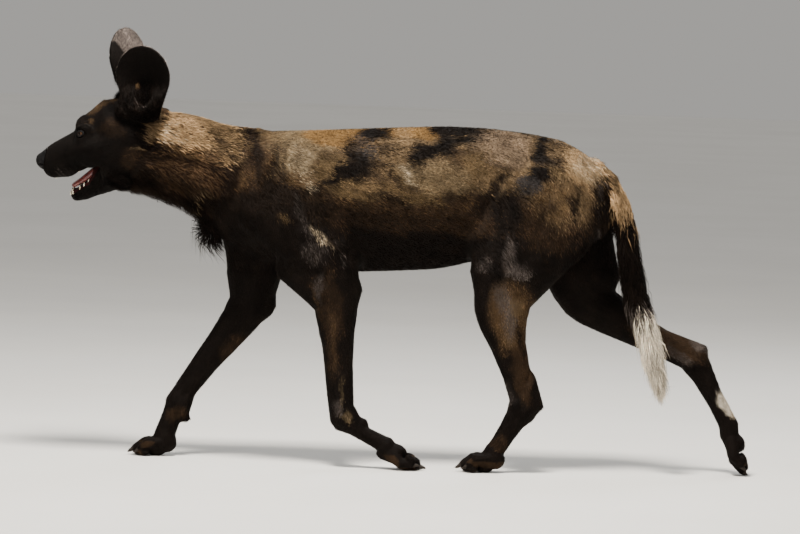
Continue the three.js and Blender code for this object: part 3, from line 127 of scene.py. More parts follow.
@dataclass(frozen=True)
class Ripple:
    """Smooth repeatable unevenness in space, from a few crossing waves.

    Attributes:
        wave: Typical length of a wave, in metres.
        seed: Start of its random draws.
        count: How many waves cross.
    """

    wave: float
    seed: int
    count: int = 9

    def at(self, points: np.ndarray) -> np.ndarray:
        """Give a value of about -1 to 1 at each place.

        Args:
            points: Places in metres, one a row.

        Returns:
            One value for each place.
        """
        draw = np.random.default_rng(self.seed)
        ways = unit(draw.normal(size=(self.count, 3)))
        pitch = 2 * math.pi / (self.wave * draw.uniform(0.6, 1.7, self.count))
        phase = draw.uniform(0, 2 * math.pi, self.count)
        waves = np.sin(points @ (ways * pitch[:, None]).T + phase)
        return waves.sum(1) / math.sqrt(self.count / 2) * 0.7


def smooth_shaded(piece: bpy.types.Object) -> None:
    """Shade every face smoothly."""
    piece.data.polygons.foreach_set("use_smooth", np.ones(len(piece.data.polygons), bool))


def mesh_object(name: str, points: np.ndarray, faces: np.ndarray) -> bpy.types.Object:
    """Make an object from arrays of places and triangles.

    Args:
        name: Name of the object.
        points: Places in metres, one a row.
        faces: Corner numbers, three a row.

    Returns:
        The new object, at the origin.
    """
    mesh = bpy.data.meshes.new(name)
    mesh.vertices.add(len(points))
    mesh.vertices.foreach_set("co", np.asarray(points, np.float32).ravel())
    mesh.loops.add(faces.size)
    mesh.loops.foreach_set("vertex_index", np.asarray(faces, np.int32).ravel())
    mesh.polygons.add(len(faces))
    mesh.polygons.foreach_set("loop_start", np.arange(len(faces), dtype=np.int32) * faces.shape[1])
    mesh.update(calc_edges=True)
    piece = bpy.data.objects.new(name, mesh)
    bpy.context.scene.collection.objects.link(piece)
    smooth_shaded(piece)
    return piece


def polygon_object(name: str, points: list[Vector], faces: list[tuple[int, ...]]) -> bpy.types.Object:
    """Make an object at the origin from places and faces of any size."""
    mesh = bpy.data.meshes.new(name)
    mesh.from_pydata([tuple(p) for p in points], [], faces)
    piece = bpy.data.objects.new(name, mesh)
    bpy.context.scene.collection.objects.link(piece)
    return piece


def only(piece: bpy.types.Object) -> None:
    """Select one object alone and make it active."""
    bpy.ops.object.select_all(action="DESELECT")
    piece.select_set(True)
    bpy.context.view_layer.objects.active = piece


def edited(piece: bpy.types.Object, operator: Callable[..., object], **settings: object) -> None:
    """Run one operator on the whole of a piece in edit mode.

    Args:
        piece: The mesh.
        operator: The operator.
        settings: What it is called with.
    """
    only(piece)
    bpy.ops.object.mode_set(mode="EDIT")
    bpy.ops.mesh.select_all(action="SELECT")
    operator(**settings)
    bpy.ops.object.mode_set(mode="OBJECT")


def modified(piece: bpy.types.Object, kind: str, **settings: object) -> None:
    """Add one modifier and apply it.

    Args:
        piece: The mesh.
        kind: Kind of the modifier.
        settings: Its settings.
    """
    only(piece)
    modifier = piece.modifiers.new(kind.lower(), kind)
    for key, value in settings.items():
        setattr(modifier, key, value)
    bpy.ops.object.modifier_apply(modifier=modifier.name)


def places_of(piece: bpy.types.Object) -> np.ndarray:
    """Read an object's vertices, one a row."""
    out = np.empty(len(piece.data.vertices) * 3)
    piece.data.vertices.foreach_get("co", out)
    return out.reshape(-1, 3)


def normals_of(piece: bpy.types.Object) -> np.ndarray:
    """Read an object's vertex normals, one a row."""
    out = np.empty(len(piece.data.vertices) * 3)
    piece.data.vertex_normals.foreach_get("vector", out)
    return out.reshape(-1, 3)


def set_places(piece: bpy.types.Object, points: np.ndarray) -> None:
    """Write an object's vertices back."""
    piece.data.vertices.foreach_set("co", np.asarray(points, np.float32).ravel())
    piece.data.update()


def paint(piece: bpy.types.Object, colours: np.ndarray) -> None:
    """Store one colour a vertex under the name that the coat's finishes read.

    Args:
        piece: The mesh to paint.
        colours: Linear colours, one a vertex.
    """
    layer = piece.data.color_attributes.new(name=COAT_COLOUR, type="FLOAT_COLOR", domain="POINT")
    full = np.ones((len(colours), 4), np.float32)
    full[:, :3] = colours
    layer.data.foreach_set("color", full.ravel())


def dress(piece: bpy.types.Object, finish: bpy.types.Material, slot: str, *nodes: str) -> None:
    """Give a piece its finish, hang it under the root and hide the solids that it stands for.

    Args:
        piece: The finished piece.
        finish: Its material.
        slot: Name of a slot in the record, or an empty name; not used.
        nodes: Solids that it stands for.
    """
    piece.data.materials.clear()
    piece.data.materials.append(finish)
    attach(piece, ROOT)
    if nodes:
        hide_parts(*nodes)
    log.info("%s: %d triangles", piece.name, sum(len(p.vertices) - 2 for p in piece.data.polygons))


def copy_of(names: list[str], name: str) -> bpy.types.Object:
    """Copy solids of the frame into one object with its doubles merged.

    Args:
        names: Solids to copy.
        name: Name of the new object.

    Returns:
        The joined copy.
    """
    copies = []
    for node in names:
        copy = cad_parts[node].copy()
        copy.data = copy.data.copy()
        copy.parent = None
        for key in list(copy.keys()):
            del copy[key]
        bpy.context.scene.collection.objects.link(copy)
        copies.append(copy)
    only(copies[0])
    for copy in copies:
        copy.select_set(True)
    if len(copies) > 1:
        bpy.ops.object.join()
    piece = bpy.context.view_layer.objects.active
    piece.name = name
    piece.data.name = name
    edited(piece, bpy.ops.mesh.remove_doubles, threshold=2e-6)
    return piece


def remeshed(piece: bpy.types.Object, pitch: float) -> None:
    """Rebuild a closed mesh on an even grid."""
    only(piece)
    piece.data.remesh_voxel_size = pitch
    piece.data.remesh_voxel_adaptivity = 0
    piece.data.use_remesh_fix_poles = False
    bpy.ops.object.voxel_remesh()


def relaxed(piece: bpy.types.Object, steps: int, group: str = "") -> None:
    """Smooth a mesh, everywhere or where a vertex group says."""
    modified(piece, "SMOOTH", iterations=steps, factor=0.5, vertex_group=group)


def weigh(piece: bpy.types.Object, name: str, weights: np.ndarray, levels: int = 20) -> None:
    """Make a vertex group from weights, in even steps.

    Args:
        piece: The mesh.
        name: Name of the group.
        weights: One weight a vertex, from 0 to 1.
        levels: Number of steps.
    """
    group = piece.vertex_groups.new(name=name)
    stepped = np.round(np.clip(weights, 0, 1) * levels).astype(int)
    for level in range(1, levels + 1):
        chosen = np.nonzero(stepped == level)[0]
        if len(chosen):
            group.add(chosen.tolist(), level / levels, "REPLACE")


class Nodes:
    """Short way to build one material's node tree."""

    def __init__(self, name: str) -> None:
        """Start a material with its shader and output."""
        self.material = bpy.data.materials.new(name)
        self.material.use_nodes = True
        self.tree = self.material.node_tree
        self.tree.nodes.clear()
        self.shader = self.add("ShaderNodeBsdfPrincipled")
        out = self.add("ShaderNodeOutputMaterial")
        self.link(self.shader.outputs["BSDF"], out.inputs["Surface"])

    def add(self, kind: str, **values: object) -> bpy.types.Node:
        """Add a node and set its properties."""
        node = self.tree.nodes.new(kind)
        for key, value in values.items():
            setattr(node, key, value)
        return node

    def link(self, a: bpy.types.NodeSocket, b: bpy.types.NodeSocket) -> None:
        """Join two sockets."""
        self.tree.links.new(a, b)

    def object_places(self, scale: Triple = (1, 1, 1)) -> bpy.types.NodeSocket:
        """Give object coordinates, stretched along the axes."""
        coords = self.add("ShaderNodeTexCoord")
        mapping = self.add("ShaderNodeMapping")
        mapping.inputs["Scale"].default_value = scale
        self.link(coords.outputs["Object"], mapping.inputs["Vector"])
        return mapping.outputs["Vector"]

    def noise(
        self, places: bpy.types.NodeSocket, scale: float, detail: float = 3, rough: float = 0.6
    ) -> bpy.types.NodeSocket:
        """Add fractal noise and give its value."""
        noise = self.add("ShaderNodeTexNoise")
        noise.inputs["Scale"].default_value = scale
        noise.inputs["Detail"].default_value = detail
        noise.inputs["Roughness"].default_value = rough
        self.link(places, noise.inputs["Vector"])
        return noise.outputs["Fac"]

    def ramp(self, value: bpy.types.NodeSocket, *stops: tuple[float, Triple]) -> bpy.types.NodeSocket:
        """Turn a value into colours between stops."""
        ramp = self.add("ShaderNodeValToRGB")
        band = ramp.color_ramp
        while len(band.elements) < len(stops):
            band.elements.new(0.5)
        for element, (place, colour) in zip(band.elements, stops):
            element.position = place
            element.color = (*colour, 1)
        self.link(value, ramp.inputs["Fac"])
        return ramp.outputs["Color"]

    def multiply(self, a: bpy.types.NodeSocket, b: bpy.types.NodeSocket) -> bpy.types.NodeSocket:
        """Multiply two colours."""
        mix = self.add("ShaderNodeMix", data_type="RGBA", blend_type="MULTIPLY")
        mix.inputs["Factor"].default_value = 1
        self.link(a, mix.inputs["A"])
        self.link(b, mix.inputs["B"])
        return mix.outputs["Result"]

    def base(self, colour: bpy.types.NodeSocket) -> None:
        """Give the surface its colour."""
        self.link(colour, self.shader.inputs["Base Color"])

    def bump(self, height: bpy.types.NodeSocket, strength: float, distance: float) -> None:
        """Raise the surface by a height."""
        bump = self.add("ShaderNodeBump")
        bump.inputs["Strength"].default_value = strength
        bump.inputs["Distance"].default_value = distance
        self.link(height, bump.inputs["Height"])
        self.link(bump.outputs["Normal"], self.shader.inputs["Normal"])

    def set(self, **values: float) -> None:
        """Set plain numbers on the shader, with spaces as underscores."""
        for key, value in values.items():
            self.shader.inputs[key.replace("_", " ")].default_value = value


@dataclass(frozen=True)
class HairFinish:
    """Hair that carries the coat's markings.

    Attributes:
        name: Name of the material.
        roughness: How dull the hair is.
        gloss: Strength of its highlights.
    """

    name: str
    roughness: float = 0.55
    gloss: float = 0.04

    def material(self) -> bpy.types.Material:
        """Build the material."""
        n = Nodes(self.name)
        marks = n.add("ShaderNodeAttribute", attribute_name=COAT_COLOUR)
        grain = n.noise(n.object_places(), 420, 2)
        shade = n.ramp(grain, (0.3, (0.72, 0.72, 0.72)), (0.7, (1.12, 1.1, 1.08)))
        n.base(n.multiply(marks.outputs["Color"], shade))
        n.set(Roughness=self.roughness, Specular_IOR_Level=self.gloss)
        return n.material


@dataclass(frozen=True)
class SkinFinish:
    """Skin and its shortest fur, with the coat's markings below the tufts.

    Attributes:
        name: Name of the material.
        roughness: How dull it is.
    """

    name: str = "short_fur"
    roughness: float = 0.62

    def material(self) -> bpy.types.Material:
        """Build the material."""
        n = Nodes(self.name)
        marks = n.add("ShaderNodeAttribute", attribute_name=COAT_COLOUR)
        streaks = n.noise(n.object_places((1, 2.4, 2.4)), 260, 4, 0.7)
        pores = n.noise(n.object_places(), 900, 2)
        shade = n.ramp(streaks, (0.3, (0.55, 0.55, 0.55)), (0.7, (1.1, 1.08, 1.05)))
        n.base(n.multiply(marks.outputs["Color"], shade))
        both = n.add("ShaderNodeMath", operation="ADD")
        n.link(streaks, both.inputs[0])
        n.link(pores, both.inputs[1])
        n.bump(both.outputs["Value"], 0.7, 0.0009)
        n.set(Roughness=self.roughness, Specular_IOR_Level=0.05)
        return n.material


@dataclass(frozen=True)
class HornFinish:
    """Dark smooth horn of the claws and whiskers.

    Attributes:
        name: Name of the material.
        colour: Darkest colour of the horn.
    """

    name: str = "claw_horn"
    colour: Triple = (0.012, 0.0095, 0.008)

    def material(self) -> bpy.types.Material:
        """Build the material."""
        n = Nodes(self.name)
        grain = n.noise(n.object_places((1, 1, 4)), 300, 3)
        r, g, b = self.colour
        n.base(n.ramp(grain, (0.35, (r, g, b)), (0.8, (r * 3.2, g * 3, b * 2.8))))
        n.bump(grain, 0.3, 0.0003)
        n.set(Roughness=0.45, Specular_IOR_Level=0.12)
        return n.material


@dataclass(frozen=True)
class LeatherFinish:
    """Bare grained skin of the nose, pads, lids and lips.

    Attributes:
        name: Name of the material.
        low: Colour in the grooves.
        high: Colour on the grain.
        grain: Grains in a metre.
        roughness: How dull it is.
        relief: Depth of the grain in metres.
        gloss: Strength of its highlights.
    """

    name: str
    low: Triple = (0.0022, 0.0021, 0.0022)
    high: Triple = (0.0085, 0.0075, 0.0075)
    grain: float = 900
    roughness: float = 0.5
    relief: float = 0.0003
    gloss: float = 0.07

    def material(self) -> bpy.types.Material:
        """Build the material."""
        n = Nodes(self.name)
        cells = n.add("ShaderNodeTexVoronoi", feature="DISTANCE_TO_EDGE")
        cells.inputs["Scale"].default_value = self.grain
        n.link(n.object_places(), cells.inputs["Vector"])
        wear = n.noise(n.object_places(), 140, 4)
        n.base(n.ramp(wear, (0.35, self.low), (0.75, self.high)))
        n.bump(cells.outputs["Distance"], 0.8, self.relief)
        n.set(Roughness=self.roughness, Specular_IOR_Level=self.gloss)
        return n.material


@dataclass(frozen=True)
class MoistFinish:
    """Wet flesh of the tongue and gums.

    Attributes:
        name: Name of the material.
        dark: Colour in the hollows.
        light: Colour on the swellings.
        roughness: How dull the wet surface is.
    """

    name: str
    dark: Triple
    light: Triple
    roughness: float = 0.3

    def material(self) -> bpy.types.Material:
        """Build the material."""
        n = Nodes(self.name)
        blotches = n.noise(n.object_places(), 160, 4)
        buds = n.noise(n.object_places(), 1400, 2)
        n.base(n.ramp(blotches, (0.3, self.dark), (0.7, self.light)))
        n.bump(buds, 0.5, 0.0004)
        n.set(Roughness=self.roughness, Specular_IOR_Level=0.5)
        n.set(Subsurface_Weight=0.08, Subsurface_Scale=0.004)
        return n.material


@dataclass(frozen=True)
class ToothFinish:
    """Slightly stained enamel."""

    def material(self) -> bpy.types.Material:
        """Build the material."""
        n = Nodes("tooth_enamel")
        stain = n.noise(n.object_places(), 220, 4)
        n.base(n.ramp(stain, (0.3, (0.5, 0.4, 0.25)), (0.65, (0.78, 0.72, 0.6))))
        n.bump(stain, 0.15, 0.0003)
        n.set(Roughness=0.25, Specular_IOR_Level=0.55)
        return n.material


@dataclass(frozen=True)
class EyeFinish:
    """Dark eye with its pupil, brown iris and darker rim, all under a clear gloss.

    Attributes:
        name: Name of the material.
        centre: Middle of the eye.
        axis: Way that the eye looks.
        radius: Radius of the eye.
    """

    name: str
    centre: Vector
    axis: Vector
    radius: float

    def material(self) -> bpy.types.Material:
        """Build the material."""
        n = Nodes(self.name)
        coords = n.add("ShaderNodeTexCoord")
        away = n.add("ShaderNodeVectorMath", operation="SUBTRACT")
        away.inputs[1].default_value = self.centre
        n.link(coords.outputs["Object"], away.inputs[0])
        dot = n.add("ShaderNodeVectorMath", operation="DOT_PRODUCT")
        dot.inputs[1].default_value = self.axis / (self.radius * 1.06)
        n.link(away.outputs["Vector"], dot.inputs[0])
        rays = n.noise(n.object_places(), 1500, 3)
        iris = n.ramp(
            dot.outputs["Value"],
            (0.0, (0.010, 0.007, 0.005)),
            (0.74, (0.012, 0.007, 0.005)),
            (0.80, (0.022, 0.010, 0.004)),
            (0.90, (0.062, 0.026, 0.009)),
            (0.945, (0.046, 0.019, 0.007)),
            (0.960, (0.003, 0.002, 0.002)),
        )
        shade = n.ramp(rays, (0.3, (0.6, 0.6, 0.6)), (0.7, (1.2, 1.2, 1.2)))
        n.base(n.multiply(iris, shade))
        n.set(Roughness=0.05, Specular_IOR_Level=0.16)
        return n.material


@dataclass(frozen=True)
class FloorFinish:
    """Plain pale studio floor."""

    def material(self) -> bpy.types.Material:
        """Build the material."""
        n = Nodes("studio_floor")
        clouds = n.noise(n.object_places(), 1.2, 3)
        n.base(n.ramp(clouds, (0.3, (0.60, 0.585, 0.555)), (0.7, (0.64, 0.625, 0.595))))
        n.set(Roughness=0.9, Specular_IOR_Level=0.2)
        return n.material


class Region(Enum):
    """Parts of the body whose coat differs."""

    TRUNK = 0
    NECK = 1
    HEAD = 2
    EAR = 3
    FORELEG = 4
    HINDLEG = 5
    PAW = 6
    TAIL = 7


PAIRED_PARTS = (
    ("ear", Region.EAR),
    ("forearm", Region.FORELEG),
    ("pastern", Region.FORELEG),
    ("shank", Region.HINDLEG),
    ("metatarsus", Region.HINDLEG),
    ("forepaw", Region.PAW),
    ("hindpaw", Region.PAW),
)

REGION_OF = {
    "torso": Region.TRUNK,
    "neck": Region.NECK,
    "head": Region.HEAD,
    "lower_jaw": Region.HEAD,
    **{f"{part}_{side}": region for part, region in PAIRED_PARTS for side in ("left", "right")},
    **{f"tail_{part}": Region.TAIL for part in ("root", "middle", "tip")},
}


class Tone(Enum):
    """Linear colours of the coat, also used for the shade and highlights painted into it."""

    BLACK = (0.0072, 0.0048, 0.0036)
    BROWN_BLACK = (0.0140, 0.0088, 0.0058)
    UMBER = (0.050, 0.029, 0.0155)
    BROWN = (0.105, 0.063, 0.031)
    OLIVE = (0.132, 0.088, 0.044)
    WASH = (0.168, 0.112, 0.060)
    TAN = (0.400, 0.262, 0.138)
    ORANGE = (0.236, 0.134, 0.050)
    GREY_TAN = (0.205, 0.148, 0.084)
    ROSE_TAN = (0.225, 0.158, 0.104)
    PALE = (0.540, 0.435, 0.300)
    GREY = (0.095, 0.078, 0.070)
    SLATE = (0.030, 0.027, 0.028)
    WHITE = (0.720, 0.640, 0.520)


@dataclass(frozen=True)
class Mark:
    """One patch of the coat, or of shade or highlight painted on it, an uneven ellipse seen from the side,
    in millimetres.

    Attributes:
        tone: Colour of the patch.
        x: Place of its middle along the body.
        z: Height of its middle.
        long: Half its length.
        high: Half its height.
        tilt: Turn of its length above level, in degrees.
        side: -1 for the left side, 1 for the right side, 0 for both.
        strength: How fully it covers.
    """

    tone: Tone
    x: float
    z: float
    long: float
    high: float
    tilt: float = 0
    side: int = 0
    strength: float = 1

    def cover(self, x: np.ndarray, z: np.ndarray, soft: float) -> np.ndarray:
        """Tell how much of the patch covers each place.

        Args:
            x: Places along the body, in millimetres.
            z: Heights, in millimetres.
            soft: Width of its border against its size.

        Returns:
            Cover from 0 to 1.
        """
        cos, sin = math.cos(math.radians(self.tilt)), math.sin(math.radians(self.tilt))
        u = ((x - self.x) * cos + (z - self.z) * sin) / self.long
        v = (-(x - self.x) * sin + (z - self.z) * cos) / self.high
        return self.strength * (1 - smooth_step(1 - soft, 1 + soft, np.hypot(u, v)))


TRUNK_MARKS = (
    # Brown wash over the upper side, from the shoulder to the rump.
    Mark(Tone.BROWN, 20, 524, 190, 22, 0, strength=0.3),
    Mark(Tone.UMBER, 40, 490, 190, 30, 0, strength=0.45),
    Mark(Tone.UMBER, 300, 500, 70, 60, 10, strength=0.5),
    Mark(Tone.WASH, -180, 612, 92, 58, -6, strength=0.9),
    Mark(Tone.WASH, 30, 600, 150, 62, 0, strength=0.85),
    Mark(Tone.WASH, 200, 605, 100, 62, 4, strength=0.9),
    Mark(Tone.WASH, 330, 570, 72, 78, 10, strength=0.85),
    # Shoulder.
    Mark(Tone.GREY_TAN, -188, 618, 58, 42, -8, strength=0.8),
    Mark(Tone.PALE, -186, 592, 30, 24, -40, strength=0.2),
    Mark(Tone.PALE, -168, 556, 18, 6, -50, strength=0.35),
    Mark(Tone.BROWN, -205, 560, 30, 16, 0, strength=0.6),
    Mark(Tone.ORANGE, -118, 646, 66, 22, -2),
    Mark(Tone.OLIVE, -140, 590, 30, 24, -30, strength=0.85),
    Mark(Tone.UMBER, -196, 590, 5, 40, -12, strength=0.45),
    Mark(Tone.UMBER, -166, 600, 5, 36, -16, strength=0.4),
    Mark(Tone.UMBER, -290, 600, 40, 66, -4, strength=0.85),
    Mark(Tone.BROWN_BLACK, -296, 576, 34, 40, -4, strength=0.5),
    Mark(Tone.OLIVE, -284, 636, 40, 20, 6, strength=0.75),
    Mark(Tone.BROWN, -312, 622, 14, 34, -6, strength=0.6),
    Mark(Tone.BROWN_BLACK, -272, 604, 10, 48, -8, strength=0.9),
    Mark(Tone.BROWN_BLACK, -326, 602, 8, 40, -4, strength=0.8),
    Mark(Tone.BROWN, -300, 562, 9, 30, -4, strength=0.55),
    Mark(Tone.BROWN_BLACK, -318, 580, 7, 40, -4, strength=0.7),
    Mark(Tone.BROWN_BLACK, -246, 566, 10, 54, -6, strength=0.8),
    Mark(Tone.BROWN_BLACK, -224, 590, 5, 40, -10, strength=0.6),
    Mark(Tone.BLACK, -284, 665, 66, 9, -4),
    # Dark blot behind the shoulder with its arms.
    Mark(Tone.BLACK, -84, 592, 38, 30, 24),
    Mark(Tone.BLACK, -114, 568, 36, 13, 24),
    Mark(Tone.BLACK, -58, 658, 52, 11, -2),
    Mark(Tone.SLATE, -62, 628, 17, 24, 10, strength=0.75),
    Mark(Tone.BROWN_BLACK, -92, 622, 20, 16, 30, strength=0.8),
    Mark(Tone.BROWN_BLACK, -18, 580, 30, 12, -40, strength=0.7),
    Mark(Tone.BROWN_BLACK, -28, 622, 16, 10, -30, strength=0.6),
    # Back and side.
    Mark(Tone.ORANGE, 28, 656, 46, 13, -2),
    Mark(Tone.TAN, 6, 640, 24, 14, -20, strength=0.6),
    Mark(Tone.OLIVE, -72, 545, 62, 17, 2),
    Mark(Tone.TAN, -60, 552, 26, 6, -4, strength=0.4),
    Mark(Tone.OLIVE, 30, 560, 44, 26, -20, strength=0.85),
    Mark(Tone.BROWN_BLACK, -8, 566, 26, 8, -36, strength=0.6),
    Mark(Tone.BROWN_BLACK, 34, 584, 22, 7, -30, strength=0.6),
    Mark(Tone.BROWN_BLACK, 70, 545, 34, 9, -20, strength=0.6),
    Mark(Tone.BROWN_BLACK, -30, 536, 34, 8, -14, strength=0.6),
    Mark(Tone.BROWN_BLACK, 24, 532, 14, 18, -30, strength=0.5),
    Mark(Tone.BROWN_BLACK, 128, 562, 12, 26, -20, strength=0.5),
    Mark(Tone.GREY_TAN, 82, 568, 60, 30, -6, strength=0.7),
    Mark(Tone.OLIVE, 60, 538, 60, 14, -4, strength=0.55),
    Mark(Tone.PALE, 20, 575, 20, 6, -50, strength=0.5),
    Mark(Tone.BLACK, 44, 613, 36, 18, 22),
    Mark(Tone.BLACK, 88, 630, 28, 26, 40),
    Mark(Tone.BLACK, 92, 664, 48, 11, -3),
    Mark(Tone.BLACK, 142, 650, 40, 11, 14),
    Mark(Tone.UMBER, 120, 606, 15, 14, 30, strength=0.6),
    Mark(Tone.BLACK, 195, 675, 70, 5, -3),
    # Hip and haunch.
    Mark(Tone.ROSE_TAN, 200, 632, 52, 36, -4, strength=0.9),
    Mark(Tone.OLIVE, 150, 600, 26, 30, 20, strength=0.7),
    Mark(Tone.BLACK, 292, 661, 58, 10, -9),
    Mark(Tone.BLACK, 276, 630, 17, 22, 10),
    Mark(Tone.BROWN_BLACK, 300, 604, 28, 22, 0, strength=0.8),
    Mark(Tone.BLACK, 268, 582, 17, 22, 10),
    Mark(Tone.SLATE, 244, 562, 24, 17, -10, strength=0.9),
    Mark(Tone.OLIVE, 300, 585, 20, 10, -30, strength=0.8),
    Mark(Tone.BROWN_BLACK, 346, 550, 10, 14, 0, strength=0.6),
    Mark(Tone.TAN, 358, 598, 48, 38, -32),
    Mark(Tone.PALE, 366, 596, 30, 26, -30, strength=0.35),
    Mark(Tone.BROWN_BLACK, 176, 540, 54, 11, 62, strength=0.95),
    Mark(Tone.BLACK, 212, 510, 36, 44, 20, strength=0.9),
    Mark(Tone.BROWN, 300, 532, 38, 30, 10, strength=0.55),
    Mark(Tone.OLIVE, 310, 536, 22, 16, 10, strength=0.5),
    Mark(Tone.BROWN_BLACK, 286, 508, 10, 26, 24, strength=0.6),
    Mark(Tone.BLACK, 346, 522, 6, 32, 12, strength=0.85),
    Mark(Tone.WASH, 362, 528, 12, 34, 6, strength=0.7),
    Mark(Tone.BLACK, 396, 544, 14, 42, 6, strength=0.9),
    Mark(Tone.GREY, 396, 560, 7, 20, 6, strength=0.5),
    Mark(Tone.BLACK, 410, 590, 8, 22, 10, strength=0.6),
    Mark(Tone.GREY, 392, 468, 8, 12, 0, strength=0.7),
    # Patches of the thigh and the upper arm.
    Mark(Tone.GREY, 214, 425, 17, 38, 8, strength=0.6),
    Mark(Tone.GREY, 238, 396, 20, 12, -10, strength=0.55),
    Mark(Tone.GREY, 172, 404, 11, 13, 0, strength=0.3),
    # Grey on the upper arm and elbow: partly grey hair, partly painted highlight on their swellings.
    Mark(Tone.GREY, -187, 486, 9, 42, 22, strength=0.3),
    Mark(Tone.GREY, -160, 424, 18, 26, -20, strength=0.3),
    Mark(Tone.GREY, -108, 424, 6, 34, 28, strength=0.25),
    Mark(Tone.PALE, -150, 451, 30, 4.5, -36, strength=0.45),
    Mark(Tone.PALE, -140, 443, 14, 5, -30, strength=0.4),
    Mark(Tone.OLIVE, -218, 486, 14, 7, -20, strength=0.7),
)

NECK_MARKS = (
    Mark(Tone.TAN, -404, 648, 84, 42, -8, strength=0.92),
    Mark(Tone.UMBER, -424, 566, 76, 36, -14, strength=0.75),
    Mark(Tone.WASH, -345, 612, 44, 30, -10, strength=0.6),
    Mark(Tone.OLIVE, -338, 636, 36, 26, -8, strength=0.6),
    Mark(Tone.PALE, -466, 636, 38, 12, -58, strength=0.16),
    Mark(Tone.PALE, -440, 636, 36, 12, -40, strength=0.14),
    Mark(Tone.ORANGE, -424, 690, 56, 13, -8, strength=0.75),
    Mark(Tone.BROWN, -420, 604, 76, 15, -10, strength=0.6),
    Mark(Tone.BLACK, -487, 613, 16, 9),
    Mark(Tone.GREY_TAN, -386, 520, 8, 24, -28, strength=0.3),
)

LIMB_MARKS = (
    Mark(Tone.BROWN, 230, 306, 44, 66, side=-1, strength=0.95),
    Mark(Tone.WASH, 226, 304, 22, 50, side=-1, strength=0.35),
    # Painted highlight: grey down the near hind shin, over its brown.
    Mark(Tone.GREY, 222, 316, 20, 50, 6, side=-1, strength=0.7),
    Mark(Tone.WASH, 244, 332, 16, 20, side=-1, strength=0.6),
    Mark(Tone.UMBER, 254, 200, 22, 60, 8, side=-1, strength=0.8),
    Mark(Tone.GREY, 222, 150, 12, 30, 20, side=-1, strength=0.4),
    Mark(Tone.GREY_TAN, -82, 102, 12, 9, side=-1, strength=0.6),
    Mark(Tone.GREY_TAN, -92, 146, 4, 34, side=-1, strength=0.3),
    Mark(Tone.GREY, -100, 118, 12, 14, side=-1, strength=0.6),
    Mark(Tone.UMBER, -122, 290, 22, 110, 4, side=-1, strength=0.5),
    # Painted highlights: these narrow paler strips run down the near forearm's muscle and tendon.
    Mark(Tone.BROWN, -114, 250, 6, 60, 4, side=-1, strength=0.3),
    Mark(Tone.BROWN, -150, 330, 5, 40, 8, side=-1, strength=0.3),
    Mark(Tone.GREY, -142, 350, 7, 30, 10, side=-1, strength=0.5),
    Mark(Tone.UMBER, 262, 240, 9, 60, 12, side=-1, strength=0.7),
    Mark(Tone.BLACK, 250, 262, 8, 40, 14, side=-1, strength=0.7),
    Mark(Tone.UMBER, 205, 60, 22, 16, side=-1, strength=0.5),
    Mark(Tone.WHITE, 656, 142, 26, 17, -30, side=1),
    Mark(Tone.PALE, 668, 122, 10, 12, side=1, strength=0.6),
    Mark(Tone.UMBER, 540, 262, 80, 26, -20, side=1, strength=0.8),
    # Painted sheen: grey along the top of the far hind shank.
    Mark(Tone.GREY, 606, 254, 20, 12, -10, side=1, strength=0.7),
    Mark(Tone.GREY, 560, 236, 34, 10, -30, side=1, strength=0.5),
    Mark(Tone.UMBER, -300, 200, 30, 40, side=1, strength=0.6),
    Mark(Tone.UMBER, -420, 84, 20, 14, side=1, strength=0.7),
)

HEAD_MARKS = (
    Mark(Tone.BROWN, -585, 704, 44, 17, 25, strength=0.45),
    # Grey over the top of the brow: partly grizzled hair, partly painted sheen where the light falls on it.
    Mark(Tone.GREY, -572, 716, 34, 8, 22, strength=0.7),
    # Painted highlight: small paler mark on the brow ridge above the eye.
    Mark(Tone.BROWN, -603, 660, 8, 4, -20, strength=0.5),
    Mark(Tone.UMBER, -560, 640, 30, 16, strength=0.3),
    Mark(Tone.UMBER, -500, 590, 40, 26, strength=0.45),
    Mark(Tone.GREY_TAN, -512, 614, 14, 3, 8, strength=0.4),
    Mark(Tone.WASH, -478, 646, 20, 38, strength=0.9),
    Mark(Tone.UMBER, -470, 690, 30, 14, strength=0.7),
)


BENDS = (
    (Ripple(0.075, 11), 7, Ripple(0.022, 12), 3.4),
    (Ripple(0.075, 13), 6, Ripple(0.022, 14), 3.4),
)


@dataclass
class Canvas:
    """Colours in the making, with the places that they belong to.

    Attributes:
        points: Places in metres.
        normals: Directions out of the skin.
        regions: Number of the region at each place.
        draw: Draws that settle each tuft, or nothing for soft borders.
        tones: Linear colours, one a place.
    """

    points: np.ndarray
    normals: np.ndarray
    regions: np.ndarray
    draw: Draw
    tones: np.ndarray

    def of(self, *regions: Region) -> np.ndarray:
        """Tell which places lie in the regions."""
        return np.isin(self.regions, [region.value for region in regions])

    def settled(self, cover: np.ndarray) -> np.ndarray:
        """Keep a soft cover, or decide it tuft by tuft where there are draws."""
        if self.draw is None:
            return cover
        return (self.draw.random(len(cover)) < cover).astype(float)

    def tint(self, tone: Tone, cover: np.ndarray, gain: float = 1) -> None:
        """Pull the colours towards a tone."""
        self.tones += (np.array(tone.value) * gain - self.tones) * cover[:, None]


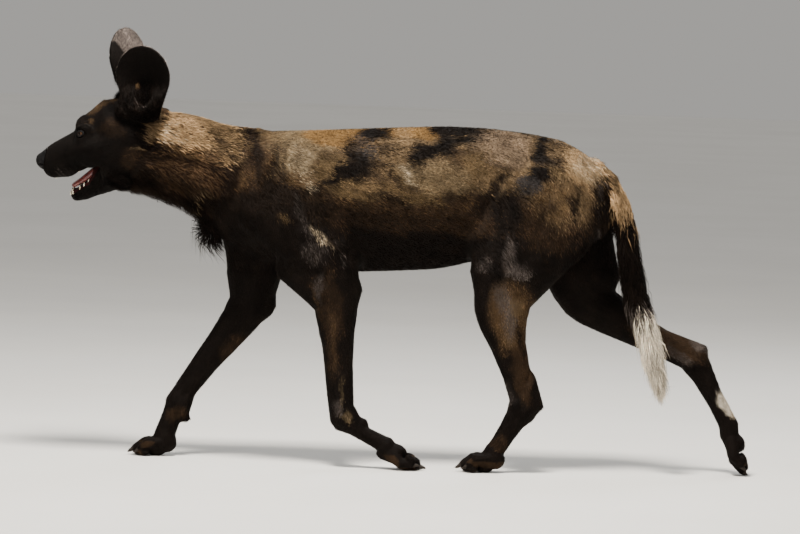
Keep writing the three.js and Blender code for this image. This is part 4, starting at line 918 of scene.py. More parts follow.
@dataclass(frozen=True)
class Markings:
    """The whole pattern of the coat, alike in the skin and in the tufts.

    Attributes:
        shift: How far the right side's pattern lies from the left one's, in millimetres.
        neck_shift: The same on the neck.
        tail_bands: Heights, in metres, where the tail turns black, grey and white.
        tail_top: Height, in metres, above which the tail is as brown as the rump.
        soft: Width of a patch's border against its size.
        stray: How far a tuft may take its colour from, in millimetres.
        mottle: How strongly dark hair speckles the pale patches.
        pale_from: Redness from which a patch is pale.
        ear_spot: Place along the body, height and radius of the speck in the left ear, in metres.
        ear_back_sheen: Share of the backs of the ears painted grey as the sheen of their black hair.
    """

    shift: float = 38
    neck_shift: float = 6
    tail_bands: Triple = (0.514, 0.350, 0.326)
    tail_top: float = 0.57
    soft: float = 0.30
    stray: float = 2.2
    mottle: float = 0.9
    pale_from: float = 0.06
    ear_spot: Triple = (-0.510, 0.723, 0.004)
    ear_back_sheen: float = 0.62

    def colours(
        self,
        points: np.ndarray,
        normals: np.ndarray,
        regions: np.ndarray,
        streak: np.ndarray,
        ragged: int = 0,
    ) -> np.ndarray:
        """Give the coat's colour at each place, with painted shade and highlights included.

        Args:
            points: Places in metres.
            normals: Directions out of the skin.
            regions: Number of the region at each place.
            streak: Streaks along the lie at each place.
            ragged: Seed for ragged borders, or 0 for soft ones.

        Returns:
            Linear colours, one a place.
        """
        draw = np.random.default_rng(ragged) if ragged else None
        bend = np.stack(
            [broad.at(points) * wide + fine.at(points) * slight for broad, wide, fine, slight in BENDS], 1
        )
        if draw is not None:
            bend += draw.normal(size=bend.shape) * self.stray
        x = points[:, 0] / MM + bend[:, 0]
        z = points[:, 2] / MM + bend[:, 1]
        # Base colour turns darker below about half a metre up: partly the black fur of the belly and legs,
        # partly painted shade under the body.
        lower = smooth_step(0.55, 0.45, points[:, 2])[:, None]
        upper_tone, underside_and_shade_tone = np.array(Tone.BROWN_BLACK.value), np.array(Tone.BLACK.value) * 1.15
        tones = np.tile(upper_tone, (len(points), 1)) * (1 - lower) + underside_and_shade_tone * lower
        canvas = Canvas(points, normals, regions, draw, tones)
        is_right = canvas.settled(smooth_step(-0.012, 0.012, points[:, 1])) > 0.5
        away = self.shift + Ripple(0.16, 15).at(points) * 22
        trunk_x = np.where(is_right, x + away, x)
        trunk_z = np.where(is_right, z + Ripple(0.13, 16).at(points) * 14, z)
        body = canvas.of(Region.TRUNK, Region.FORELEG, Region.HINDLEG) & ((points[:, 2] > 0.36) | ~is_right)
        for mark in TRUNK_MARKS:
            self._lay(canvas, mark, trunk_x, trunk_z, body)
        neck = canvas.of(Region.TRUNK, Region.NECK)
        for mark in NECK_MARKS:
            self._lay(canvas, mark, x - np.where(is_right, self.neck_shift, 0), z, neck)
        for mark in LIMB_MARKS:
            self._lay(canvas, mark, x, z, is_right == (mark.side > 0))
        self._head(canvas, x, z)
        self._ears(canvas)
        self._tail(canvas)
        self._paws(canvas)
        speck = np.clip(0.42 * streak + 0.55 * Ripple(0.045, 22).at(points) - 0.28, 0, 1)
        fleck = speck * self.mottle * neck * (canvas.tones[:, 0] > self.pale_from)
        canvas.tint(Tone.BROWN_BLACK, fleck, 1.6)
        shade = 1 + 0.13 * Ripple(0.03, 17).at(points) + 0.10 * Ripple(0.009, 18).at(points)
        return np.clip(canvas.tones * shade[:, None], 0.002, 0.9)

    def _lay(self, canvas: Canvas, mark: Mark, x: np.ndarray, z: np.ndarray, where: np.ndarray) -> None:
        """Lay one mark over the colours, softly or tuft by tuft."""
        canvas.tint(mark.tone, canvas.settled(mark.cover(x, z, self.soft) * where))

    def _head(self, canvas: Canvas, x: np.ndarray, z: np.ndarray) -> None:
        """Blacken the face and lay its few paler marks."""
        head = canvas.of(Region.HEAD)
        canvas.tint(Tone.BLACK, head.astype(float) * smooth_step(-478, -508, x), 0.75)
        for mark in HEAD_MARKS:
            self._lay(canvas, mark, x, z, head)
        line = head & (np.abs(canvas.points[:, 1]) < 0.0045) & (canvas.points[:, 2] > 0.66)
        canvas.tones[line] = Tone.BLACK.value

    def _ears(self, canvas: Canvas) -> None:
        """Darken the ears, with painted grey sheen on their backs and pale hair at the rear of each base."""
        canvas.tones[canvas.of(Region.EAR)] = np.array(Tone.BLACK.value) * 0.8
        points = canvas.points
        spot_x, spot_z, spot_radius = self.ear_spot
        for shape in EARS:
            near = shape.owns(points, canvas.regions)
            behind = near * smooth_step(0.22, -0.42, canvas.normals @ np.array(shape.facing))
            # Painted sheen: grey over the backs of the ears, where the light catches their black hair.
            canvas.tint(Tone.GREY, canvas.settled(behind * self.ear_back_sheen), 1.8)
            off = np.hypot(points[:, 0] - spot_x, points[:, 2] - spot_z)
            canvas.tones[near & (off < spot_radius) & (shape.side < 0)] = Tone.BROWN.value
            low = smooth_step(0.022, -0.004, shape.heights(points))
            rear = points[:, 0] > shape.centre.x + 0.010
            canvas.tint(Tone.GREY_TAN, canvas.settled(behind * low * 0.9 * rear))

    def _tail(self, canvas: Canvas) -> None:
        """Band the tail from tan through black to white, with a dark inner side."""
        points = canvas.points
        z = points[:, 2] + Ripple(0.03, 21).at(points) * 0.010
        if canvas.draw is not None:
            z = z + canvas.draw.normal(size=len(points)) * 0.012
        tones = np.tile(np.array(Tone.TAN.value) * 0.88, (len(points), 1))
        black, grey, white = self.tail_bands
        tones[z > self.tail_top] = Tone.WASH.value
        inner = canvas.normals[:, 0] + 0.25 * Ripple(0.02, 24).at(points) < -0.35
        tones[inner] = Tone.BROWN_BLACK.value
        tones[z < black] = Tone.BLACK.value
        tones[z < grey] = Tone.GREY.value
        tones[z < white] = Tone.WHITE.value
        tail = canvas.of(Region.TAIL)
        canvas.tones[tail] = tones[tail]

    def _paws(self, canvas: Canvas) -> None:
        """Blacken the paws, with a little brown between the toes."""
        paw = canvas.of(Region.PAW)
        canvas.tones[paw] = np.array(Tone.BLACK.value) * 1.2
        toe = paw & (canvas.points[:, 2] < 0.03) & (Ripple(0.03, 19).at(canvas.points) > 0.5)
        canvas.tones[toe] = np.array(Tone.UMBER.value) * 0.8


@dataclass(frozen=True)
class EarShape:
    """Where an ear stands.

    Attributes:
        side: -1 for the left ear, 1 for the right.
        centre: Middle of its cup, in metres.
        up: From its root to its tip.
        facing: Out of its hollow.
        half_height: Half its height, in metres.
    """

    side: int
    centre: Vector
    up: Vector
    facing: Vector
    half_height: float = 0.062

    def owns(self, points: np.ndarray, regions: np.ndarray) -> np.ndarray:
        """Tell which places belong to this ear."""
        return (regions == Region.EAR.value) & (np.sign(points[:, 1] - EAR_PARTING_Y) == self.side)

    def heights(self, points: np.ndarray) -> np.ndarray:
        """Give each place's height above the ear's lower rim, in metres."""
        return (points - np.array(self.centre)) @ np.array(self.up) + self.half_height


EARS = (
    EarShape(
        -1,
        rolled(-503, -60, 754),
        Vector((-0.03, -0.2, 1)).normalized(),
        Vector((-0.2, -1, -0.1)).normalized(),
    ),
    EarShape(
        1,
        rolled(-540, 56, 769),
        Vector((-0.11, 0.14, 1)).normalized(),
        Vector((-0.85, 0.66, 0.1)).normalized(),
    ),
)


@dataclass(frozen=True)
class Guide:
    """Lie of the coat at one place, in millimetres from the frame's origin.

    Attributes:
        at: Place on the left side.
        lie: Direction that the hair points in, on the left side.
        side: -1 for the left side, 1 for the right side, 0 for both.
    """

    at: Triple
    lie: Triple
    side: int = 0


GUIDES = (
    Guide((-690, -8, 585), (1, 0, 0.3)),
    Guide((-650, -22, 575), (1, 0, -0.1)),
    Guide((-655, 0, 600), (1, 0, 0.3)),
    Guide((-620, -25, 655), (0.8, -0.2, 0.4)),
    Guide((-600, -46, 610), (1, 0, -0.15)),
    Guide((-560, -50, 590), (1, 0, -0.3)),
    Guide((-560, 0, 700), (1, 0, 0.1)),
    Guide((-610, 0, 530), (1, 0, 0.3)),
    Guide((-560, 0, 530), (1, 0, -0.3)),
    Guide((-500, -30, 540), (0.8, 0, -0.6)),
    Guide((-480, -55, 600), (0.95, 0, -0.3)),
    Guide((-470, 0, 690), (1, 0, 0)),
    Guide((-420, -60, 600), (0.95, 0, -0.3)),
    Guide((-400, 0, 680), (1, 0, -0.1)),
    Guide((-400, -40, 500), (0.75, 0, -0.65)),
    Guide((-340, -50, 640), (0.95, 0, -0.25)),
    Guide((-260, -70, 560), (0.7, 0, -0.7)),
    Guide((-250, -70, 430), (0.3, 0, -1)),
    Guide((-160, -70, 440), (0.35, 0, -1)),
    Guide((-350, 0, 460), (0.5, 0, -0.85)),
    Guide((-250, 0, 660), (1, 0, -0.08)),
    Guide((-100, 0, 665), (1, 0, -0.05)),
    Guide((100, 0, 665), (1, 0, -0.05)),
    Guide((250, 0, 665), (1, 0, -0.1)),
    Guide((-150, -85, 590), (0.9, 0, -0.4)),
    Guide((-50, -85, 520), (0.92, 0, -0.4)),
    Guide((80, -80, 560), (0.95, 0, -0.3)),
    Guide((80, -75, 470), (0.9, 0, -0.4)),
    Guide((-100, 0, 400), (0.9, 0, -0.3)),
    Guide((100, 0, 410), (0.9, 0, -0.2)),
    Guide((200, -60, 500), (0.7, 0, -0.7)),
    Guide((230, -70, 580), (0.8, 0, -0.5)),
    Guide((330, -60, 560), (0.5, 0, -0.85)),
    Guide((300, -70, 450), (0.3, 0, -0.95)),
    Guide((390, 0, 600), (0.7, 0, -0.7)),
    Guide((420, -30, 520), (0.2, 0, -1)),
    Guide((-130, -50, 300), (0.1, 0, -1), -1),
    Guide((-110, -50, 150), (0.15, 0, -1), -1),
    Guide((-50, -50, 70), (0.6, 0, -0.8), -1),
    Guide((30, -50, 25), (0.9, 0, -0.3), -1),
    Guide((-290, 50, 260), (-0.4, 0, -0.9), 1),
    Guide((-370, 50, 150), (-0.5, 0, -0.85), 1),
    Guide((-430, 50, 70), (-0.45, 0, -0.9), 1),
    Guide((-490, 50, 25), (-1, 0, -0.1), 1),
    Guide((250, -50, 320), (0.25, 0, -1), -1),
    Guide((280, -50, 200), (0.35, 0, -0.95), -1),
    Guide((230, -45, 90), (-0.45, 0, -0.9), -1),
    Guide((160, -45, 25), (-1, 0, -0.1), -1),
    Guide((400, 52, 330), (0.8, 0, -0.55), 1),
    Guide((500, 52, 265), (0.85, 0, -0.5), 1),
    Guide((600, 52, 230), (0.85, 0, -0.6), 1),
    Guide((640, 53, 150), (0.4, 0, -0.9), 1),
    Guide((680, 53, 40), (0.3, 0, -0.95), 1),
    Guide((400, 0, 575), (0.7, 0, -0.7)),
    Guide((435, 0, 500), (0.3, 0, -1)),
    Guide((460, -8, 400), (0.15, 0, -1)),
    Guide((490, -13, 270), (0.25, 0, -1)),
    Guide((520, -15, 180), (0.2, 0, -1)),
)


def lie_at(points: np.ndarray, normals: np.ndarray, regions: np.ndarray) -> np.ndarray:
    """Give the direction along the skin that the hair points in.

    Args:
        points: Places in metres.
        normals: Directions out of the skin.
        regions: Number of the region at each place.

    Returns:
        One unit direction a place, along the skin.
    """
    total = np.zeros((len(points), 3))
    sign = np.where(points[:, 1] > 0, 1, -1)
    for guide in GUIDES:
        at = np.array(guide.at) * MM
        way = np.array(guide.lie, float)
        way /= np.linalg.norm(way)
        here = np.tile(at, (len(points), 1))
        ways = np.tile(way, (len(points), 1))
        if not guide.side:
            here[:, 1] = -at[1] * sign
            ways[:, 1] = -way[1] * sign
        away = ((points - here) ** 2).sum(1) + 0.012**2
        total += ways / (away**2)[:, None]
    for shape in EARS:
        total[shape.owns(points, regions)] = np.array(shape.up)
    total = unit(total)
    flat = total - normals * (total * normals).sum(1, keepdims=True)
    weak = np.linalg.norm(flat, axis=1) < 0.15
    spare = np.cross(normals, np.array([0.0, 1.0, 0.0]))
    flat[weak] += spare[weak] * 0.3
    return unit(flat)


@dataclass(frozen=True)
class Growth:
    """How the hair grows in one part of the body.

    Attributes:
        length: Length of a tuft, in metres.
        width: Width of its root, in metres.
        lift: Angle above the skin, in degrees.
        room: Skin that one tuft covers, in square millimetres.
        depth: How far the skin lies inside the solids, in metres.
        even: How strongly the solids are smoothed.
    """

    length: float
    width: float
    lift: float
    room: float
    depth: float
    even: float


GROWTH = {
    Region.TRUNK: Growth(0.0105, 0.00110, 13, 4.36, 0.0032, 1.0),
    Region.NECK: Growth(0.0150, 0.00100, 13, 4.1, 0.0028, 1.0),
    Region.HEAD: Growth(0.0050, 0.00075, 14, 1.6, 0.0012, 0.06),
    Region.EAR: Growth(0.0048, 0.00070, 22, 2.0, 0.0002, 0.03),
    Region.FORELEG: Growth(0.0068, 0.00090, 14, 3.0, 0.0016, 0.16),
    Region.HINDLEG: Growth(0.0068, 0.00090, 14, 3.0, 0.0016, 0.16),
    Region.PAW: Growth(0.0048, 0.00085, 14, 2.5, 0.0008, 0.04),
    Region.TAIL: Growth(0.060, 0.00120, 15, 3.8, 0.0, 0.3),
}


@dataclass(frozen=True)
class Tuft:
    """Where longer hair grows on both sides, as a ball that blends out.

    Attributes:
        at: Middle of the place, in millimetres, with the left side's sign.
        reach: Radius of the place, in millimetres.
        length: Length there, in metres.
        lift: Angle above the skin there, in degrees.
    """

    at: Triple
    reach: float
    length: float
    lift: float

    def weight(self, points: np.ndarray) -> np.ndarray:
        """Tell how much each place belongs to this one, from 0 to 1."""
        at = np.array(self.at) * MM
        x, y, z = points[:, 0], np.abs(points[:, 1]), points[:, 2]
        away = np.sqrt((x - at[0]) ** 2 + (y + at[1]) ** 2 + (z - at[2]) ** 2)
        return smooth_step(self.reach * MM, self.reach * MM * 0.45, away)


LONG_PLACES = (
    Tuft((-505, 0, 522), 50, 0.026, 44),
    Tuft((-455, 0, 500), 56, 0.036, 52),
    Tuft((-405, 0, 480), 52, 0.040, 50),
    Tuft((-368, 0, 462), 36, 0.048, 52),
    Tuft((-352, 0, 456), 22, 0.066, 60),
    Tuft((-545, -30, 545), 34, 0.018, 20),
    Tuft((-470, -45, 640), 60, 0.019, 18),
    Tuft((415, -40, 510), 50, 0.020, 20),
    Tuft((380, -60, 420), 50, 0.017, 18),
    Tuft((-120, -60, 420), 36, 0.017, 18),
    Tuft((330, 0, 450), 64, 0.017, 18),
    Tuft((-500, -50, 700), 26, 0.017, 28),
    Tuft((-575, 0, 705), 44, 0.008, 18),
)


@dataclass(frozen=True)
class Relief:
    """Swelling or hollow of the muscles and bones, along a line, in millimetres.

    Attributes:
        start: One end of the line, on the left side.
        end: Its other end.
        reach: How far it spreads.
        height: How far it stands out, or sinks in where negative.
        side: -1 for the left side, 1 for the right side, 0 for both.
        flat: Whether it runs through the limb from side to side.
    """

    start: Triple
    end: Triple
    reach: float
    height: float
    side: int = 0
    flat: bool = False

    def heights(self, points: np.ndarray) -> np.ndarray:
        """Give how far each place moves out, in metres.

        Args:
            points: Places in metres.

        Returns:
            One height a place.
        """
        a, b = np.array(self.start) * MM, np.array(self.end) * MM
        p = points.copy()
        if not self.side:
            p[:, 1] = -np.abs(p[:, 1])
        if self.flat:
            p[:, 1], a[1], b[1] = 0, 0, 0
        along = b - a
        t = np.clip((p - a) @ along / max(along @ along, 1e-12), 0, 1)
        away = np.linalg.norm(p - a - t[:, None] * along, axis=1) / (self.reach * MM)
        here = np.exp(-(away**2)) * self.height * MM
        if self.side:
            here *= (points[:, 1] > 0) == (self.side > 0)
        return here


RELIEFS = (
    # Shoulder and upper arm.
    Relief((-236, -62, 640), (-272, -80, 530), 11, 3.0),
    Relief((-300, -60, 610), (-318, -66, 510), 13, -3.0),
    Relief((-214, -70, 620), (-236, -84, 530), 14, -1.8),
    Relief((-148, -88, 600), (-112, -78, 450), 15, -4.5),
    Relief((-200, -84, 500), (-138, -74, 440), 24, 4.0),
    Relief((-196, -78, 470), (-214, -70, 400), 9, -2.2),
    Relief((-90, -62, 400), (-96, -60, 385), 14, 3.0),
    # Neck.
    Relief((-480, -46, 566), (-335, -64, 520), 13, 2.6),
    Relief((-470, -40, 540), (-360, -50, 492), 11, -2.4),
    # Ribs, flank and hip.
    *(Relief((-76 + 34 * i, -88, 590), (-44 + 34 * i, -80, 462), 7.5, 1.2) for i in range(6)),
    Relief((176, -78, 578), (160, -78, 530), 34, -4.5),
    Relief((206, -74, 590), (158, -66, 478), 11, -3.5),
    Relief((236, -52, 644), (244, -58, 634), 18, 4.0),
    Relief((402, -30, 586), (408, -32, 566), 13, 3.0),
    Relief((290, -64, 640), (330, -60, 620), 22, -2.0),
    # Thigh.
    Relief((300, -78, 560), (262, -76, 430), 11, -2.6),
    Relief((236, -78, 520), (214, -76, 420), 22, 2.6),
    Relief((352, -66, 520), (318, -70, 420), 10, -2.2),
    # Near hind leg: tendon, shin and hock.
    Relief((296, 0, 268), (266, 0, 182), 8, -4.2, -1, True),
    Relief((214, 0, 330), (232, 0, 230), 15, 1.6, -1, True),
    Relief((258, 0, 150), (240, 0, 132), 9, 1.8, -1, True),
    Relief((243, 0, 110), (222, 0, 70), 4.5, -1.3, -1, True),
    # Far hind leg.
    Relief((520, 0, 298), (596, 0, 252), 8, -4.0, 1, True),
    Relief((470, 0, 280), (540, 0, 240), 13, 1.5, 1, True),
    Relief((624, 0, 214), (636, 0, 200), 9, 1.8, 1, True),
    Relief((648, 0, 176), (664, 0, 120), 4.5, -1.3, 1, True),
    # Forelegs: muscle, tendons and wrist.
    Relief((-150, 0, 330), (-140, 0, 262), 14, 2.4, -1, True),
    Relief((-114, 0, 320), (-104, 0, 190), 6, -1.8, -1, True),
    Relief((-96, 0, 128), (-92, 0, 112), 9, 1.8, -1, True),
    Relief((-268, 0, 330), (-292, 0, 270), 14, 1.8, 1, True),
    Relief((-286, 0, 310), (-350, 0, 190), 6, -1.8, 1, True),
    Relief((-404, 0, 110), (-412, 0, 96), 9, 1.8, 1, True),
)

# The same on the head, from places in the upright head.
FACE_RELIEFS = (
    Relief((-576, -36, 668), (-556, -36, 676), 15, -3.0),
    Relief((-620, -36, 618), (-560, -50, 610), 7.5, 2.4),
    Relief((-600, -40, 598), (-572, -46, 588), 8, -1.8),
    Relief((-556, -48, 578), (-546, -46, 566), 17, 2.2),
    Relief((-682, -12, 586), (-634, -24, 602), 6, -1.6),
    Relief((-672, -16, 566), (-650, -20, 568), 8, 1.5),
    Relief((-634, -27, 584), (-612, -35, 590), 6, -1.4),
    Relief((-616, -26, 654), (-600, -30, 658), 7, 2.4),
    Relief((-604, 0, 672), (-556, 0, 698), 6, -2.0),
    Relief((-640, -23, 622), (-636, -25, 628), 5, -1.0),
    # Folds round the eye.
    Relief((-626, -32, 649), (-606, -38, 647), 5.5, 3.4),
    Relief((-626, -32, 620), (-606, -39, 623), 5.5, 3.0),
    Relief((-602, -40, 640), (-601, -40, 632), 5.5, 2.6),
    Relief((-633, -25, 640), (-635, -25, 634), 4.5, 2.2),
)


@dataclass
class TailCore:
    """Bony core of the tail below its brush.

    Attributes:
        stations: Place and radius along the tail, in millimetres.
        sides: Sides of its section.
    """

    stations: tuple[tuple[float, float, float, float], ...] = (
        (376, 0, 598, 20),
        (402, 0, 572, 22),
        (427, -2, 528, 20),
        (445, -5, 480, 15),
        (455, -8, 420, 14),
        (470, -11, 352, 13),
        (488, -13, 300, 12),
        (504, -14, 245, 11),
        (515, -15, 205, 9),
        (522, -15, 178, 5),
    )
    sides: int = 16

    def build(self) -> bpy.types.Object:
        """Loft the core."""
        middle = [Vector(s[:3]) * MM for s in self.stations]
        rings = []
        for i, (centre, station) in enumerate(zip(middle, self.stations)):
            along = (middle[min(i + 1, len(middle) - 1)] - middle[max(i - 1, 0)]).normalized()
            across = Vector((0, 1, 0))
            out = along.cross(across).normalized()
            for j in range(self.sides):
                a = 2 * math.pi * j / self.sides
                rings.append(centre + (out * math.cos(a) + across * math.sin(a)) * station[3] * MM)
        return lofted("tail_core", rings, len(middle), self.sides)


def lofted(name: str, ring_points: list[Vector], rings: int, sides: int) -> bpy.types.Object:
    """Close a tube of equal rings with its two ends.

    Args:
        name: Name of the object.
        ring_points: Points of the rings, one after another.
        rings: Number of rings.
        sides: Points in a ring.

    Returns:
        The closed tube, facing outward.
    """
    faces = [
        (i * sides + j, i * sides + (j + 1) % sides, (i + 1) * sides + (j + 1) % sides, (i + 1) * sides + j)
        for i in range(rings - 1)
        for j in range(sides)
    ]
    faces += [tuple(range(sides))[::-1], tuple((rings - 1) * sides + j for j in range(sides))]
    tube = polygon_object(name, ring_points, faces)
    edited(tube, bpy.ops.mesh.normals_make_consistent, inside=False)
    return tube


@dataclass
class NeckCore:
    """The neck's own surface under its locks, felt out from inside.

    Attributes:
        front: Start of the line it is felt out from, in metres.
        back: End of that line.
        slices: Sections along the line.
        sides: Rays in a section.
        gap: Widest cut between solids that a ray passes.
    """

    front: Vector = field(default_factory=lambda: Vector((-0.548, 0.003, 0.612)))
    back: Vector = field(default_factory=lambda: Vector((-0.262, 0.0, 0.545)))
    slices: int = 40
    sides: int = 72
    gap: float = 0.0025

    def build(self) -> bpy.types.Object:
        """Feel out and loft the neck's surface."""
        solid = copy_of(["neck", "torso", "head"], "neck_probe")
        tree = BVHTree.FromObject(solid, bpy.context.evaluated_depsgraph_get())
        spokes = self._spokes()
        reach = np.array([self._reach(tree, centre, way) for centre, way in spokes])
        bpy.data.objects.remove(solid)
        reach = self._evened(reach.reshape(self.slices, self.sides)).ravel()
        points = [centre + way * float(far) for (centre, way), far in zip(spokes, reach)]
        return lofted("neck_core", points, self.slices, self.sides)

    def _spokes(self) -> list[tuple[Vector, Vector]]:
        """Give the start and the way of every ray, section by section."""
        axis = (self.back - self.front).normalized()
        side = Vector((0, 1, 0))
        up = axis.cross(side).normalized()
        up = up if up.z > 0 else -up
        spokes = []
        for i in range(self.slices):
            centre = self.front.lerp(self.back, i / (self.slices - 1))
            for j in range(self.sides):
                a = 2 * math.pi * j / self.sides
                spokes.append((centre, up * math.cos(a) + side * math.sin(a)))
        return spokes

    def _reach(self, tree: BVHTree, centre: Vector, way: Vector) -> float:
        """Follow a ray to the outer surface, past the cuts between solids."""
        hit = tree.ray_cast(centre + way * 0.002, way)[0]
        reach = (hit - centre).length if hit is not None else 0.07
        for _ in range(4):
            entry = tree.ray_cast(centre + way * (reach + 0.00005), way)[0]
            if entry is None or (entry - centre).length - reach > self.gap:
                break
            leave = tree.ray_cast(entry + way * 0.00005, way)[0]
            if leave is None:
                break
            reach = (leave - centre).length
        return reach

    def _evened(self, reach: np.ndarray) -> np.ndarray:
        """Take the surface low between the locks, then even it."""
        wide = np.pad(reach, ((2, 2), (0, 0)), mode="edge")
        wide = np.concatenate([wide[:, -3:], wide, wide[:, :3]], 1)
        around = np.lib.stride_tricks.sliding_window_view(wide, (5, 7))
        low = np.percentile(around.reshape(self.slices, self.sides, -1), 30, axis=2)
        for _ in range(3):
            wide = np.pad(low, ((1, 1), (0, 0)), mode="edge")
            wide = (wide[:-2] + 2 * wide[1:-1] + wide[2:]) / 4
            low = (np.roll(wide, 1, 1) + 2 * wide + np.roll(wide, -1, 1)) / 4
        return low


@dataclass
class Skin:
    """The whole animal's skin in one piece, with what the coat needs to know at each vertex.

    Attributes:
        pitch: Grid of the rebuilt surface, in metres.
        budget: Triangles that it keeps.
        swell: How far the solids are swelled so that their cuts close.
        steps: Smoothing steps where the body is smoothed most.
    """

    pitch: float = 0.0021
    budget: int = 192_000
    swell: float = 0.0004
    steps: int = 60
    piece: bpy.types.Object = None

    def build(self) -> bpy.types.Object:
        """Join the solids into one surface, even it and set it below the coat."""
        apart = ("eye", "tongue", "nose", "tail", "neck")
        flesh = [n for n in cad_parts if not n.startswith(apart)]
        body = copy_of(flesh, "body_skin")
        cores = [NeckCore().build(), TailCore().build()]
        only(body)
        for core in cores:
            core.select_set(True)
        bpy.ops.object.join()
        set_places(body, places_of(body) + normals_of(body) * self.swell)
        remeshed(body, self.pitch)
        self.piece = body
        self._drop_scraps()
        self._even()
        self._unwrap()
        return body

    def _drop_scraps(self) -> None:
        """Keep only the largest closed surface."""
        only(self.piece)
        bpy.ops.mesh.separate(type="LOOSE")
        scraps = sorted(bpy.context.selected_objects, key=lambda o: len(o.data.vertices))
        self.piece = scraps.pop()
        for scrap in scraps:
            bpy.data.objects.remove(scrap)
        self.piece.name = "body_skin"

    def regions(self, points: np.ndarray) -> np.ndarray:
        """Number the region of each place by the solid that lies nearest."""
        corners, faces, labels = [], [], []
        for name, region in REGION_OF.items():
            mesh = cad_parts[name].data
            mesh.calc_loop_triangles()
            places = np.empty(len(mesh.vertices) * 3)
            mesh.vertices.foreach_get("co", places)
            triangles = np.empty(len(mesh.loop_triangles) * 3, np.int32)
            mesh.loop_triangles.foreach_get("vertices", triangles)
            faces.append(triangles.reshape(-1, 3) + sum(len(c) for c in corners))
            corners.append(places.reshape(-1, 3))
            labels += [region.value] * len(mesh.loop_triangles)
        tree = BVHTree.FromPolygons(np.concatenate(corners).tolist(), np.concatenate(faces).tolist())
        return np.array([labels[tree.find_nearest(p)[2]] for p in points.tolist()])

    def _even(self) -> None:
        """Smooth by region, sink the skin under its coat and thin its triangles."""
        piece = self.piece
        number = self.regions(places_of(piece))
        even = self.blended(np.array([GROWTH[r].even for r in Region])[number], 10)
        even = np.maximum(even, on_teeth(unrolled(places_of(piece))) * (number == Region.HEAD.value))
        weigh(piece, "even", even)
        relaxed(piece, 3)
        relaxed(piece, self.steps, "even")
        depth = self.blended(np.array([GROWTH[r].depth for r in Region])[number], 14)
        places = places_of(piece)
        rise = sum(relief.heights(places) for relief in RELIEFS) * (number != Region.TAIL.value)
        face = unrolled(places) * MM
        rise += sum(relief.heights(face) for relief in FACE_RELIEFS) * (number == Region.HEAD.value)
        places += normals_of(piece) * rise[:, None]
        set_places(piece, places)
        nose = np.array(rolled(*NOSE_PLACE))
        depth *= smooth_step(0.014, 0.03, np.linalg.norm(places - nose, axis=1))
        for side in (-1, 1):
            eye = np.array(rolled(*eye_place(side)))
            depth *= 0.35 + 0.65 * smooth_step(0.012, 0.022, np.linalg.norm(places - eye, axis=1))
        places -= normals_of(piece) * depth[:, None]
        places[:, 2] = np.maximum(places[:, 2], FLOOR_CLEARANCE)
        set_places(piece, places)
        ratio = self.budget / (2 * len(piece.data.polygons))
        modified(piece, "DECIMATE", ratio=ratio, use_collapse_triangulate=True)
        piece.vertex_groups.clear()
        smooth_shaded(piece)

    def _edges(self) -> tuple[np.ndarray, np.ndarray]:
        """Give the two ends of every edge."""
        edges = np.empty(len(self.piece.data.edges) * 2, np.int32)
        self.piece.data.edges.foreach_get("vertices", edges)
        return tuple(edges.reshape(-1, 2).T)

    def blended(self, values: np.ndarray, steps: int) -> np.ndarray:
        """Spread values along the edges so that regions run into one another.

        Args:
            values: One value a vertex.
            steps: How often they are averaged with their neighbours.

        Returns:
            The blended values.
        """
        a, b = self._edges()
        count = np.bincount(a, minlength=len(values)) + np.bincount(b, minlength=len(values))
        out = values.astype(float)
        for _ in range(steps):
            around = np.bincount(a, out[b], len(values)) + np.bincount(b, out[a], len(values))
            out = 0.4 * out + 0.6 * around / np.maximum(count, 1)
        return out

    def streaks(self, lie: np.ndarray, seed: int, steps: int = 14) -> np.ndarray:
        """Give unevenness that runs in streaks along the lie of the coat.

        Args:
            lie: Direction of the hair at each vertex.
            seed: Start of its random draws.
            steps: Length of the streaks, in edges.

        Returns:
            One value a vertex, with a spread of about 1.
        """
        a, b = self._edges()
        points = places_of(self.piece)
        way = unit(points[b] - points[a])
        pull = np.abs((way * (lie[a] + lie[b]) / 2).sum(1)) ** 6
        count = np.bincount(a, pull, len(points)) + np.bincount(b, pull, len(points))
        out = np.random.default_rng(seed).normal(size=len(points))
        for _ in range(steps):
            around = np.bincount(a, out[b] * pull, len(out)) + np.bincount(b, out[a] * pull, len(out))
            out = 0.35 * out + 0.65 * around / np.maximum(count, 1e-6)
        return np.clip(out / out.std(), -2.5, 2.5)

    def _unwrap(self) -> None:
        """Unwrap the skin's own shape under the map's name."""
        layers = self.piece.data.uv_layers
        while layers:
            layers.remove(layers[0])
        layers.new(name=BAKE_MAP)
        edited(self.piece, bpy.ops.uv.smart_project, angle_limit=math.radians(60), island_margin=0.002)


def tooth_line(x: np.ndarray) -> np.ndarray:
    """Give the height of the lower gum along the jaw, in millimetres of the upright head."""
    return np.interp(x, [-645, -634, -600, -578], [508, 511, 535, 562])


def in_mouth(face: np.ndarray, way: np.ndarray) -> np.ndarray:
    """Tell what lies between the jaws.

    Args:
        face: Places in the upright head, in millimetres.
        way: Directions out of the skin there.

    Returns:
        True for the roof and the floor of the mouth.
    """
    x, y, z = face.T
    line = tooth_line(x)
    half = np.interp(x, [-690, -645, -634, -600, -578], [5, 8, 10, 19, 28])
    inside = (x > -692) & (x < -574) & (np.abs(y) < half + 1)
    roof = inside & (way[:, 2] < -0.45) & (z > line + 9) & (z < 588)
    floor = inside & (x > -645) & (way[:, 2] > 0.25) & (z > line - 4) & (z < line + 22)
    row = (x > -650) & (x < -588) & (np.abs(y) < half + 6) & (z > line + 2.5) & (z < line + 24)
    return roof | floor | row


def on_teeth(face: np.ndarray) -> np.ndarray:
    """Tell what belongs to the tooth rows of the solids, as places in the upright head.

    Args:
        face: Places in the upright head, in millimetres.

    Returns:
        True where the skin is smoothed flat, for the separate teeth.
    """
    x, y, z = face.T
    line = tooth_line(x)
    return (x > -650) & (x < -588) & (np.abs(y) < 32) & (z > line + 2) & (z < line + 20)


